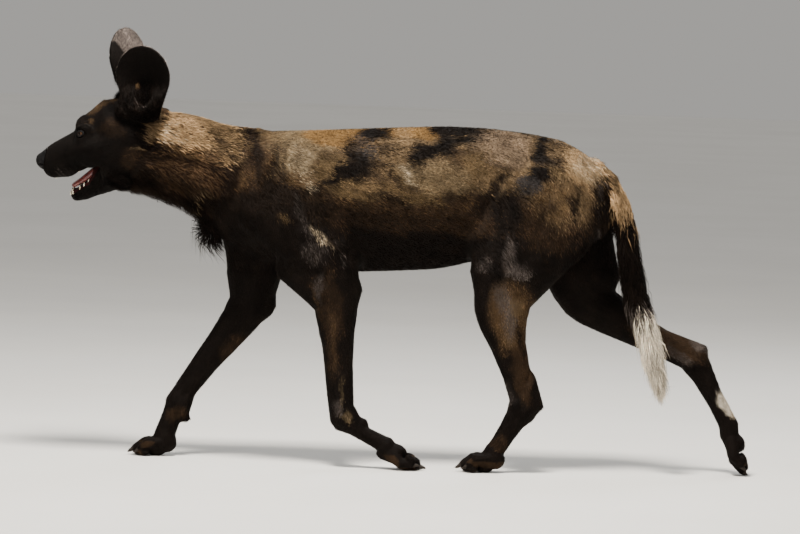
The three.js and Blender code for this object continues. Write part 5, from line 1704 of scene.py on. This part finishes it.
def bare_places(points: np.ndarray, normals: np.ndarray, number: np.ndarray) -> np.ndarray:
    """Tell where no tuft grows: nose, eyes, mouth, ear hollows and soles.

    Args:
        points: Places in metres.
        normals: Directions out of the skin.
        number: Number of the region at each place.

    Returns:
        Bareness from 0 to 1.
    """
    bare = np.zeros(len(points))
    face = unrolled(points)
    way = unit(unrolled(points + normals * MM) - face)
    head = number == Region.HEAD.value
    off = face - np.array(NOSE_TIP)
    bare = np.maximum(bare, smooth_step(17, 14, np.linalg.norm(off, axis=1)) * head)
    for side in (-1, 1):
        off = face - np.array(eye_place(side, 1))
        off[:, 2] *= 1.35
        bare = np.maximum(bare, smooth_step(12.4, 10.4, np.linalg.norm(off, axis=1)) * head)
    bare = np.maximum(bare, head & in_mouth(face, way))
    for shape in EARS:
        hollow = shape.owns(points, number) & (normals @ np.array(shape.facing) > 0.25)
        bare = np.maximum(bare, hollow * 0.72 * smooth_step(0.035, 0.065, shape.heights(points)))
    sole = (number == Region.PAW.value) & (points[:, 2] < 0.005)
    return np.maximum(bare, sole)


@dataclass
class Roots:
    """Roots of tufts over the skin, with all that shapes each tuft.

    Attributes:
        at: Places on the skin.
        normal: Directions out of the skin.
        lie: Directions along the skin.
        length: Lengths.
        width: Widths of the roots.
        lift: Angles above the skin, in radians.
        map_place: Places on the skin's unwrap.
        colour: Linear colours.
    """

    at: np.ndarray
    normal: np.ndarray
    lie: np.ndarray
    length: np.ndarray
    width: np.ndarray
    lift: np.ndarray
    map_place: np.ndarray
    colour: np.ndarray

    def part(self, chosen: np.ndarray) -> "Roots":
        """Pick some of the roots."""
        return Roots(*(getattr(self, name)[chosen] for name in self.__dataclass_fields__))


@dataclass
class Coat:
    """All the hair over the skin, as thin closed tufts in a few joined meshes.

    Attributes:
        skin: The skin it grows on.
        markings: The pattern it shares with the skin.
        seed: Start of its random draws.
        long_from: Length from which a tuft bends in its middle, in metres.
        stout_width: Width of the root of the longest tufts, in metres.
        sink: How deep a root sits in the skin, in metres.
        largest: Most triangles in one piece.
        dark_root: Brightness at the root.
        bright_tip: Brightness at the tip.
        uneven: Spread of the tufts' brightness.
        streaky: Spread of the brightness of whole streaks.
        stray: Spread of the tufts' turn from the lie, in radians.
        brush: Height and length of the hair down the tail, in metres.
    """

    skin: Skin
    markings: Markings
    seed: int = 5
    long_from: float = 0.0165
    stout_width: float = 0.0022
    sink: float = 0.0008
    largest: int = 190_000
    dark_root: float = 0.5
    bright_tip: float = 1.2
    uneven: float = 0.26
    streaky: float = 0.34
    stray: float = 0.13
    brush: tuple[tuple[float, float], ...] = (
        (0.16, 0.030),
        (0.20, 0.045),
        (0.30, 0.060),
        (0.42, 0.058),
        (0.50, 0.038),
        (0.56, 0.022),
        (0.60, 0.014),
        (0.64, 0.012),
    )

    def build(self) -> list[bpy.types.Object]:
        """Grow every tuft and split them into pieces."""
        roots = self._roots()
        is_long = roots.length > self.long_from
        pieces = []
        kinds = ((~is_long, self._short, SHORT_FACES), (is_long, self._long, LONG_FACES))
        for chosen, maker, per in kinds:
            numbers = np.nonzero(chosen)[0]
            share = max(1, math.ceil(len(numbers) * per / self.largest))
            for bunch in np.array_split(numbers, share):
                pieces.append(maker(roots.part(bunch), f"coat_{len(pieces) + 1}"))
        return pieces

    def _roots(self) -> Roots:
        """Spread roots evenly over the skin and read the coat at each."""
        draw = np.random.default_rng(self.seed)
        mesh = self.skin.piece.data
        points = places_of(self.skin.piece)
        normals = normals_of(self.skin.piece)
        number = self.skin.regions(points)
        grow = self._growth(points, normals, number)
        bare = bare_places(points, normals, number)
        corner = np.empty(len(mesh.polygons) * 3, np.int32)
        mesh.polygons.foreach_get("vertices", corner)
        corner = corner.reshape(-1, 3)
        a, b, c = points[corner[:, 0]], points[corner[:, 1]], points[corner[:, 2]]
        area = np.linalg.norm(np.cross(b - a, c - a), axis=1) / 2 * 1e6
        want = area / grow["room"][corner].mean(1) * (1 - bare[corner].mean(1))
        heap = np.cumsum(want)
        picks = np.arange(0.5, heap[-1])
        picks += draw.uniform(-0.45, 0.45, len(picks))
        face_of = np.minimum(np.searchsorted(heap, picks), len(corner) - 1)
        r1, r2 = np.sqrt(draw.random(len(picks))), draw.random(len(picks))
        share = np.stack([1 - r1, r1 * (1 - r2), r1 * r2], 1)

        def read(values: np.ndarray) -> np.ndarray:
            """Read values at the roots from the corners around them."""
            held = values[corner[face_of]]
            return (held * (share[..., None] if held.ndim == 3 else share)).sum(1)

        at = read(points)
        normal = unit(read(normals))
        region = number[corner[face_of, np.argmax(share, 1)]]
        uv = np.empty(len(mesh.loops) * 2)
        mesh.uv_layers[BAKE_MAP].data.foreach_get("uv", uv)
        uv = uv.reshape(-1, 3, 2)[face_of]
        lie = lie_at(at, normal, region)
        across = np.cross(normal, lie)
        stray = draw.normal(size=len(at)) * self.stray
        stray = stray + Ripple(0.035, 31).at(at) * self.stray + Ripple(0.012, 32).at(at) * 0.10
        lie = unit(lie * np.cos(stray)[:, None] + across * np.sin(stray)[:, None])
        spread = draw.uniform(0.72, 1.28, len(at))
        streak = read(self.skin.streaks(lie_at(points, normals, number), self.seed + 2))
        tone = self.markings.colours(at, normal, region, streak, ragged=self.seed + 1)
        fine = np.exp(self.uneven * draw.normal(size=len(at)) + self.streaky * streak)
        tone = tone * np.clip(fine, 0.3, 2.2)[:, None]
        stiff = np.clip(1 + 0.35 * draw.normal(size=len(at)), 0.3, 2.2)
        return Roots(
            at,
            normal,
            lie,
            read(grow["length"]) * spread,
            read(grow["width"]) * draw.uniform(0.75, 1.25, len(at)),
            np.radians(read(grow["lift"]) * stiff),
            (uv * share[..., None]).sum(1),
            tone,
        )

    def _growth(
        self, points: np.ndarray, normals: np.ndarray, number: np.ndarray
    ) -> dict[str, np.ndarray]:
        """Give the length, width, lift and room of the hair at each vertex.

        Args:
            points: Places in metres.
            normals: Directions out of the skin.
            number: Number of the region at each place.

        Returns:
            The four properties by name, one value a vertex.
        """
        grow = {
            name: self.skin.blended(np.array([getattr(GROWTH[r], name) for r in Region])[number], 8)
            for name in ("length", "width", "lift", "room")
        }
        is_tail = number == Region.TAIL.value
        brush = np.interp(points[:, 2], *zip(*self.brush))
        grow["length"] = np.where(is_tail, brush, grow["length"])
        grow["lift"] *= np.where(is_tail, smooth_step(0.64, 0.56, points[:, 2]) * 0.75 + 0.25, 1)
        for place in LONG_PLACES:
            w = place.weight(points) * (number != Region.EAR.value)
            for name in ("length", "lift"):
                grow[name] += (np.maximum(getattr(place, name), grow[name]) - grow[name]) * w
            stout = w * smooth_step(0.024, 0.036, np.full(len(w), place.length))
            grow["width"] += (self.stout_width - grow["width"]) * stout
        for shape in EARS:
            inside = shape.owns(points, number) & (normals @ np.array(shape.facing) > 0.3)
            deep = self.skin.blended(inside * smooth_step(0.056, 0.016, shape.heights(points)), 6)
            grow["length"] += (0.0135 - grow["length"]) * deep
            grow["lift"] += (30 - grow["lift"]) * deep
        grow["room"] *= np.where((grow["length"] > self.long_from) & ~is_tail, 1.25, 1)
        face = unrolled(points)
        muzzle = smooth_step(-615, -660, face[:, 0]) * (number == Region.HEAD.value)
        for name, less in (("length", 0.42), ("width", 0.2), ("room", 0.25)):
            grow[name] *= 1 - less * muzzle
        return grow

    def _frame(self, roots: Roots) -> tuple[np.ndarray, np.ndarray, np.ndarray, np.ndarray]:
        """Give each tuft's way, side and the corners of its root."""
        side = np.cross(roots.normal, roots.lie)
        cos, sin = np.cos(roots.lift)[:, None], np.sin(roots.lift)[:, None]
        way = roots.lie * cos + roots.normal * sin
        rise = unit(np.cross(way, side))
        rise = np.where(((rise * roots.normal).sum(1) < 0)[:, None], -rise, rise)
        half = roots.width[:, None] / 2
        foot = roots.at - roots.normal * self.sink
        corners = np.stack([foot + side * half, foot - side * half, foot + rise * half * 0.8], 1)
        return way, side, rise, corners

    def _short(self, roots: Roots, name: str) -> bpy.types.Object:
        """Build straight tufts of four triangles."""
        way, _, _, corners = self._frame(roots)
        droop = roots.normal * (roots.length * 0.12)[:, None]
        tip = roots.at + way * roots.length[:, None] - droop
        points = np.concatenate([corners, tip[:, None]], 1)
        pattern = np.array([[0, 1, 2], [1, 0, 3], [2, 1, 3], [0, 2, 3]])
        shade = np.array([self.dark_root, self.dark_root, self.dark_root * 1.25, self.bright_tip])
        return self._made(name, points, pattern, shade, roots)

    def _long(self, roots: Roots, name: str) -> bpy.types.Object:
        """Build tufts that bend in the middle, of ten triangles."""
        way, side, rise, corners = self._frame(roots)
        middle = roots.at + way * roots.length[:, None] * 0.5
        fall = roots.lie * 0.96 - roots.normal * 0.10
        fall[:, 2] -= 0.30
        fall = unit(fall + side * (np.sin(roots.at[:, 0] * 900 + roots.at[:, 2] * 700) * 0.16)[:, None])
        tip = middle + fall * roots.length[:, None] * 0.5
        half = roots.width[:, None] * 0.46
        ring = np.stack([middle + side * half, middle - side * half, middle + rise * half * 0.75], 1)
        points = np.concatenate([corners, ring, tip[:, None]], 1)
        pattern = [[0, 1, 2]]
        for a, b in ((0, 1), (1, 2), (2, 0)):
            pattern += [[b, a, a + 3], [b, a + 3, b + 3], [b + 3, a + 3, 6]]
        r, t = self.dark_root, self.bright_tip
        shade = np.array([r, r, r * 1.2, 0.85, 0.85, 0.95, t])
        return self._made(name, points, np.array(pattern), shade, roots)

    def _made(
        self, name: str, points: np.ndarray, pattern: np.ndarray, shade: np.ndarray, roots: Roots
    ) -> bpy.types.Object:
        """Join tufts into one painted and unwrapped mesh.

        Args:
            name: Name of the piece.
            points: Corners of each tuft.
            pattern: Triangles of one tuft, as numbers of its corners.
            shade: Brightness at each corner.
            roots: Where the tufts stand, with their colours.

        Returns:
            The piece.
        """
        count, per = points.shape[:2]
        points = points.copy()
        points[..., 2] = np.maximum(points[..., 2], FLOOR_CLEARANCE + 1e-4 * (np.arange(per) % 3))
        faces = (pattern[None] + (np.arange(count) * per)[:, None, None]).reshape(-1, 3)
        piece = mesh_object(name, points.reshape(-1, 3), faces)
        paint(piece, (roots.colour[:, None] * shade[None, :, None]).reshape(-1, 3))
        layer = piece.data.uv_layers.new(name=BAKE_MAP)
        ring = np.stack([np.cos(np.arange(per) * 2.4), np.sin(np.arange(per) * 2.4)], 1) * BAKE_PATCH / 2
        uv = roots.map_place[:, None] + ring[None]
        layer.data.foreach_set("uv", uv.reshape(-1, 2)[faces.ravel()].ravel())
        return piece


@dataclass(frozen=True)
class Eye:
    """An eyeball with its lids.

    Attributes:
        name: left or right.
        side: -1 for the left, 1 for the right.
        place: Middle of the eye in the upright head, in millimetres.
        radius: Radius in metres.
        back: How far it is set back, in metres.
        opening: Half width and half height between the lids, in metres.
        rim: Width of the bare lid, in metres.
        proud: How far the lids stand off the eyeball, in metres.
    """

    name: str
    side: int
    place: Triple
    radius: float = 0.0108
    back: float = 0.0016
    opening: tuple[float, float] = (0.0078, 0.0046)
    rim: float = 0.0036
    proud: float = 0.0004

    def axis(self) -> Vector:
        """Give the way that the eye looks."""
        x, y, z = self.place
        return (rolled(x - 0.62, y + self.side * 0.78, z + 0.1) - rolled(x, y, z)).normalized()

    def centre(self) -> Vector:
        """Give the eyeball's middle, set back between the lids."""
        return rolled(*self.place) - self.axis() * self.back

    def build(self) -> bpy.types.Object:
        """Build the eyeball."""
        centre = self.centre()
        bpy.ops.object.select_all(action="DESELECT")
        bpy.ops.mesh.primitive_uv_sphere_add(
            segments=48, ring_count=24, radius=self.radius, location=(0, 0, 0)
        )
        ball = bpy.context.active_object
        ball.name = f"eyeball_{self.name}"
        points = places_of(ball)
        turn = np.array(self.axis().to_track_quat("Z", "Y").to_matrix())
        bulge = 1 + 0.05 * smooth_step(0.80, 0.97, points[:, 2] / self.radius)
        set_places(ball, (points * bulge[:, None]) @ turn.T + np.array(centre))
        smooth_shaded(ball)
        return ball

    def lids(self) -> bpy.types.Object:
        """Build the dark almond rim round the opening."""
        centre, axis = self.centre(), self.axis()
        front = (rolled(self.place[0] - 10, self.place[1], self.place[2]) - rolled(*self.place)).normalized()
        across = (front - axis * front.dot(axis)).normalized()
        up = axis.cross(across) * self.side
        up = up if up.z > 0 else -up
        rows, sides = 7, 56
        grid = []
        for j in range(sides):
            a = 2 * math.pi * j / sides
            u, v = math.cos(a), math.sin(a)
            wide = self.opening[0] * u
            high = self.opening[1] * v * (1 - 0.32 * u * u)
            tilt = -0.16 * wide
            for i in range(rows):
                t = i / (rows - 1)
                grow = 1 + t * self.rim / math.hypot(wide, high)
                p, q = wide * grow, high * grow + tilt
                lip = 0.0007 * math.sin(math.pi * min(1, t * 1.25))
                off = self.radius + self.proud + lip - 0.0016 * t * t
                deep = math.sqrt(max(1e-9, self.radius**2 * 1.4 - p * p - q * q))
                way = (across * p + up * q + axis * deep).normalized()
                grid.append(centre + way * off)
        return shell(f"lids_{self.name}", grid, sides, rows, 0.0016)


def shell(name: str, grid: list[Vector], columns: int, rows: int, thick: float) -> bpy.types.Object:
    """Close a ring-shaped strip into a shell with a rounded section.

    Args:
        name: Name of the object.
        grid: Points, row by row within each column round the ring.
        columns: Number of columns round the ring.
        rows: Number of points across the strip.
        thick: Thickness in metres.

    Returns:
        The closed shell, facing outward.
    """
    faces = [
        (j * rows + i, ((j + 1) % columns) * rows + i, ((j + 1) % columns) * rows + i + 1, j * rows + i + 1)
        for j in range(columns)
        for i in range(rows - 1)
    ]
    strip = polygon_object(name, grid, faces)
    modified(strip, "SOLIDIFY", thickness=thick, offset=0)
    edited(strip, bpy.ops.mesh.normals_make_consistent, inside=False)
    smooth_shaded(strip)
    return strip


@dataclass(frozen=True)
class Spike:
    """A tapering curved point, such as a tooth or a claw.

    Attributes:
        foot: Middle of its root.
        tip: Its point.
        bend: How far its middle bows, as a vector.
        radius: Radius at the root, in metres.
        flat: Thickness against width.
    """

    foot: Vector
    tip: Vector
    bend: Vector
    radius: float
    flat: float = 1.0


def spikes(name: str, shapes: list[Spike], rings: int = 7, sides: int = 12) -> bpy.types.Object:
    """Join many tapering points into one mesh.

    Args:
        name: Name of the object.
        shapes: The points to build.
        rings: Sections along each.
        sides: Corners of a section.

    Returns:
        The joined mesh of closed points.
    """
    points, faces = [], []
    for shape in shapes:
        base = len(points)
        along = (shape.tip - shape.foot).normalized()
        side = along.cross(Vector((0, 0, 1)) if abs(along.z) < 0.8 else Vector((1, 0, 0))).normalized()
        up = side.cross(along)
        for i in range(rings):
            t = i / rings
            centre = shape.foot.lerp(shape.tip, t) + shape.bend * (4 * t * (1 - t))
            r = shape.radius * (1 - t**1.5) ** 0.8
            for j in range(sides):
                a = 2 * math.pi * j / sides
                points.append(centre + side * (math.cos(a) * r * shape.flat) + up * (math.sin(a) * r))
        points.append(shape.tip)
        points.append(shape.foot)
        top, bottom = base + rings * sides, base + rings * sides + 1
        for i in range(rings - 1):
            for j in range(sides):
                k = (j + 1) % sides
                a, b = base + i * sides + j, base + i * sides + k
                faces += [(a, b, b + sides), (a, b + sides, a + sides)]
        for j in range(sides):
            k = (j + 1) % sides
            faces.append((base + (rings - 1) * sides + j, base + (rings - 1) * sides + k, top))
            faces.append((base + k, base + j, bottom))
    return mesh_object(name, np.array([tuple(p) for p in points]), np.array(faces))


@dataclass(frozen=True)
class Mouth:
    """Teeth, gums and tongue in the open mouth.

    Attributes:
        lower: Lower teeth of one side as place, height and radius, in millimetres.
        upper: Upper teeth of one side, in the same way.
    """

    lower: tuple[tuple[float, ...], ...] = (
        (-641, 2.2, 512, 3.6, 1.4),
        (-640.5, 5.4, 512.5, 3.8, 1.5),
        (-636, 9.6, 515, 7.5, 2.3),
        (-622, 13.2, 525, 5, 2.6),
        (-613.5, 15.6, 531, 5.5, 3.0),
        (-604.5, 18.2, 538, 6, 3.3),
        (-594.5, 21.5, 545, 6.5, 3.8),
    )
    upper: tuple[tuple[float, ...], ...] = (
        (-684, 3, 549, 5, 1.7),
        (-682, 7.5, 549, 5.5, 1.9),
        (-671, 12.5, 548, 10, 2.8),
        (-650, 17, 551, 5.5, 2.6),
        (-638, 20, 555, 6, 3.0),
        (-626, 23, 560, 6.5, 3.6),
    )

    def teeth(self) -> bpy.types.Object:
        """Build both tooth rows."""
        shapes = []
        for side in (-1, 1):
            for x, y, z, high, r in self.lower:
                foot = rolled(x, side * y, z - 4)
                tip = rolled(x - high * 0.28, side * y * 1.02, z + high)
                shapes.append(self._tooth(foot, tip, x, z, r))
            for x, y, z, high, r in self.upper:
                foot = rolled(x, side * y, z + 5)
                tip = rolled(x + high * 0.15, side * y, z - high + 3)
                shapes.append(self._tooth(foot, tip, x, z, r))
        return spikes("teeth", shapes)

    def _tooth(self, foot: Vector, tip: Vector, x: float, z: float, radius: float) -> Spike:
        """Give one tooth, bowed a little forward."""
        return Spike(foot, tip, rolled(x - 0.5, 0, z) - rolled(x, 0, z), radius * MM, 0.8)

    def tongue(self) -> bpy.types.Object:
        """Rebuild the tongue finer."""
        piece = copy_of(["tongue"], "tongue_flesh")
        remeshed(piece, FINE_PITCH)
        relaxed(piece, 8)
        smooth_shaded(piece)
        return piece


@dataclass(frozen=True)
class Whiskers:
    """Stiff single hairs of the lips and brows.

    Attributes:
        rows: Place of the first hair, step along the row, number and length, in millimetres.
        radius: Radius at the root, in metres.
        seed: Start of its random draws.
    """

    rows: tuple[tuple[Triple, Triple, int, float], ...] = (
        ((-682, 15, 566), (7.5, 1.3, 0.2), 5, 26),
        ((-679, 15.5, 560), (7.5, 1.6, 0.4), 5, 32),
        ((-674, 15, 554), (7.5, 1.8, 0.6), 4, 26),
        ((-618, 33, 655), (3, 1, 0.5), 3, 22),
    )
    radius: float = 0.00028
    seed: int = 9

    def build(self) -> bpy.types.Object:
        """Build every whisker."""
        draw = np.random.default_rng(self.seed)
        shapes = []
        for side in (-1, 1):
            for start, step, count, length in self.rows:
                for i in range(count):
                    x, y, z = (a + b * i for a, b in zip(start, step))
                    far = length * draw.uniform(0.75, 1.15)
                    out = far * draw.uniform(0.45, 0.7)
                    root = rolled(x, side * (y - 1.5), z)
                    tip = rolled(x + far * 0.75, side * (y + out), z - far * draw.uniform(0.15, 0.4))
                    bow = rolled(x, side * (y + 3), z + 2) - rolled(x, side * y, z)
                    shapes.append(Spike(root, tip, bow * draw.uniform(0.5, 1.2), self.radius))
        return spikes("whiskers", shapes, 6, 5)


@dataclass(frozen=True)
class Paw:
    """Where a paw's claws stand, in millimetres.

    Attributes:
        at: Wrist end of the paw.
        forward: Way that the toes point, along the body and up.
        sole: Way out of the top of the paw, along the body and up.
        toe: Length of the middle toes.
        row: How far across each claw stands, and its share of that length.
    """

    at: Triple
    forward: tuple[float, float]
    sole: tuple[float, float]
    toe: float = 60
    row: tuple[tuple[float, float], ...] = ((-21, 0.8), (-7.6, 1), (7.6, 1), (21, 0.8))

    def claws(self) -> list[Spike]:
        """Give the paw's four claws."""
        ahead = Vector((self.forward[0], 0, self.forward[1])).normalized()
        top = Vector((self.sole[0], 0, self.sole[1]))
        top = (top - ahead * top.dot(ahead)).normalized()
        out = []
        for across, reach in self.row:
            end = self.toe * reach
            at = Vector((self.at[0] + FRAME_SHIFT_X / MM, self.at[1] + across, self.at[2]))
            foot = (at + ahead * (end * 0.93) + top * 2) * MM
            tip = (at + ahead * (end + 11.5) + top * 11.5) * MM
            foot.z, tip.z = max(foot.z, 0.0062), max(tip.z, 0.0016)
            out.append(Spike(foot, tip, top * 0.0018, 0.0042, 0.72))
        return out


PAWS = (
    Paw((-3, -51, 33.5), (0.86, -0.51), (0.51, 0.86), 66),
    Paw((-448, 51, 22.8), (-1, -0.08), (-0.08, -1)),
    Paw((196, -46, 22.8), (-1, -0.06), (-0.06, -1)),
    Paw((668, 53, 73.5), (0.28, -0.96), (0.96, 0.28), 74),
)


@dataclass(frozen=True)
class Lamp:
    """One soft square lamp.

    Attributes:
        name: Its name.
        at: Where it hangs, in metres.
        to: Where it points, in metres.
        size: Width of its face, in metres.
        power: Power in watts.
        colour: Colour of its light.
    """

    name: str
    at: Triple
    to: Triple
    size: float
    power: float
    colour: Triple

    def hang(self) -> None:
        """Put the lamp into the scene."""
        light = bpy.data.lights.new(self.name, "AREA")
        light.shape = "SQUARE"
        light.size = self.size
        light.energy = self.power
        light.color = self.colour
        lamp = bpy.data.objects.new(self.name, light)
        lamp.location = self.at
        lamp.rotation_euler = (Vector(self.to) - Vector(self.at)).to_track_quat("-Z", "Y").to_euler()
        bpy.context.scene.collection.objects.link(lamp)


@dataclass(frozen=True)
class Studio:
    """Pale floor, soft lights and the camera.

    Attributes:
        target: Point that the camera looks at, in metres.
        elevation: Height of the view, in degrees.
        roll: Turn of the picture, in degrees.
        distance: From the camera to the target, in metres.
        lens: Focal length on a sensor 36 mm wide.
        floor_size: Width of the floor, in metres.
        horizon: Colour of the dome at the horizon.
        zenith: Colour of the dome overhead.
        lamps: The lamps.
    """

    target: Triple = (0.0088, 0, 0.3912)
    elevation: float = 4
    roll: float = 2
    distance: float = 9
    lens: float = 207.7
    floor_size: float = 40
    horizon: Triple = (0.58, 0.565, 0.54)
    zenith: Triple = (0.96, 0.95, 0.93)
    lamps: tuple[Lamp, ...] = (
        Lamp("key", (-0.2, -1.0, 3.0), (0.0, 0.0, 0.45), 0.7, 280, (1.0, 0.95, 0.87)),
        Lamp("front", (-2.6, -3.2, 1.3), (-0.1, 0.0, 0.4), 1.0, 34, (1.0, 0.99, 0.98)),
        Lamp("rim", (1.2, 2.0, 2.4), (0.1, 0.0, 0.5), 1.2, 40, (0.95, 0.98, 1.0)),
    )

    def build(self) -> None:
        """Build everything that isn't the animal."""
        self._floor()
        self._world()
        for lamp in self.lamps:
            lamp.hang()
        self._camera()

    def _floor(self) -> None:
        """Lay the floor."""
        bpy.ops.object.select_all(action="DESELECT")
        bpy.ops.mesh.primitive_plane_add(size=self.floor_size, location=(0, 0, 0))
        floor = bpy.context.active_object
        floor.name = "studio_floor"
        floor.data.materials.append(FloorFinish().material())

    def _world(self) -> None:
        """Light the scene from a soft dome, dimmer at the horizon so that the floor runs into it."""
        world = bpy.data.worlds.new("studio")
        world.use_nodes = True
        tree = world.node_tree
        back = tree.nodes["Background"]
        coords = tree.nodes.new("ShaderNodeTexCoord")
        parts = tree.nodes.new("ShaderNodeSeparateXYZ")
        ramp = tree.nodes.new("ShaderNodeValToRGB")
        low, high = ramp.color_ramp.elements
        low.position, low.color = 0.04, (*self.horizon, 1)
        high.position, high.color = 0.6, (*self.zenith, 1)
        tree.links.new(coords.outputs["Generated"], parts.inputs["Vector"])
        tree.links.new(parts.outputs["Z"], ramp.inputs["Fac"])
        tree.links.new(ramp.outputs["Color"], back.inputs["Color"])
        back.inputs["Strength"].default_value = 0.7
        bpy.context.scene.world = world

    def _camera(self) -> None:
        """Set the camera as the photo was taken."""
        data = bpy.data.cameras.new("camera")
        data.lens = self.lens
        data.sensor_width = 36
        data.dof.use_dof = False
        data.clip_start = 0.1
        data.clip_end = 100
        camera = bpy.data.objects.new("camera", data)
        bpy.context.scene.collection.objects.link(camera)
        e = math.radians(self.elevation)
        back = Vector((0, -math.cos(e), math.sin(e)))
        camera.location = Vector(self.target) + back * self.distance
        turn = (-back).to_track_quat("-Z", "Y").to_matrix().to_4x4()
        roll = Matrix.Rotation(math.radians(self.roll), 4, "Z")
        camera.rotation_euler = (turn @ roll).to_euler()
        bpy.context.scene.camera = camera


def build_skin(markings: Markings) -> Skin:
    """Build the skin and colour it.

    Args:
        markings: The coat's pattern.

    Returns:
        The finished skin.
    """
    skin = Skin()
    piece = skin.build()
    points, normals = places_of(piece), normals_of(piece)
    number = skin.regions(points)
    streak = skin.streaks(lie_at(points, normals, number), Coat.seed + 2)
    tones = markings.colours(points, normals, number, streak) * SKIN_SHADE
    face = unrolled(points)
    way = unit(unrolled(points + normals * MM) - face)
    tones[in_mouth(face, way) & (number == Region.HEAD.value)] = MOUTH_RED
    paint(piece, tones)
    dress(piece, SkinFinish().material(), "body_coat", *REGION_OF)
    return skin


def build_coat(skin: Skin, markings: Markings) -> None:
    """Grow the coat over the skin."""
    finish = HairFinish("coat_hair").material()
    for piece in Coat(skin, markings).build():
        dress(piece, finish, "body_coat")


def build_face() -> None:
    """Build eyes, lids, nose, mouth and tongue."""
    lid_finish = LeatherFinish("lid_skin", grain=1400, roughness=0.6, relief=0.0002, gloss=0.12).material()
    for name, side in (("left", -1), ("right", 1)):
        eye = Eye(name, side, eye_place(side))
        finish = EyeFinish(f"eye_{name}", eye.centre(), eye.axis(), eye.radius)
        dress(eye.build(), finish.material(), "eye_surface", f"eye_{name}")
        dress(eye.lids(), lid_finish, "")
    nose = copy_of(["nose"], "nose_leather")
    remeshed(nose, FINE_PITCH)
    relaxed(nose, 6)
    places = places_of(nose)
    rear = smooth_step(-699, -688, unrolled(places)[:, 0])
    set_places(nose, places - normals_of(nose) * (NOSE_TUCK * rear)[:, None])
    smooth_shaded(nose)
    dress(nose, LeatherFinish("nose_leather").material(), "nose_skin", "nose")
    dress(Whiskers().build(), HornFinish("whisker_hair").material(), "")
    mouth = Mouth()
    dress(mouth.teeth(), ToothFinish().material(), "")
    flesh = MoistFinish("tongue_flesh", (0.090, 0.020, 0.018), (0.20, 0.055, 0.047))
    dress(mouth.tongue(), flesh.material(), "tongue_surface", "tongue")


def build_claws() -> None:
    """Build the claws of all four paws."""
    shapes = [claw for paw in PAWS for claw in paw.claws()]
    dress(spikes("claws", shapes), HornFinish().material(), "")


def main() -> None:
    """Build the animal and its studio in order."""
    logging.basicConfig(level=logging.INFO, format="%(message)s")
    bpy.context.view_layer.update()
    markings = Markings()
    skin = build_skin(markings)
    build_coat(skin, markings)
    build_face()
    build_claws()
    Studio().build()


if __name__ == "__main__":
    main()
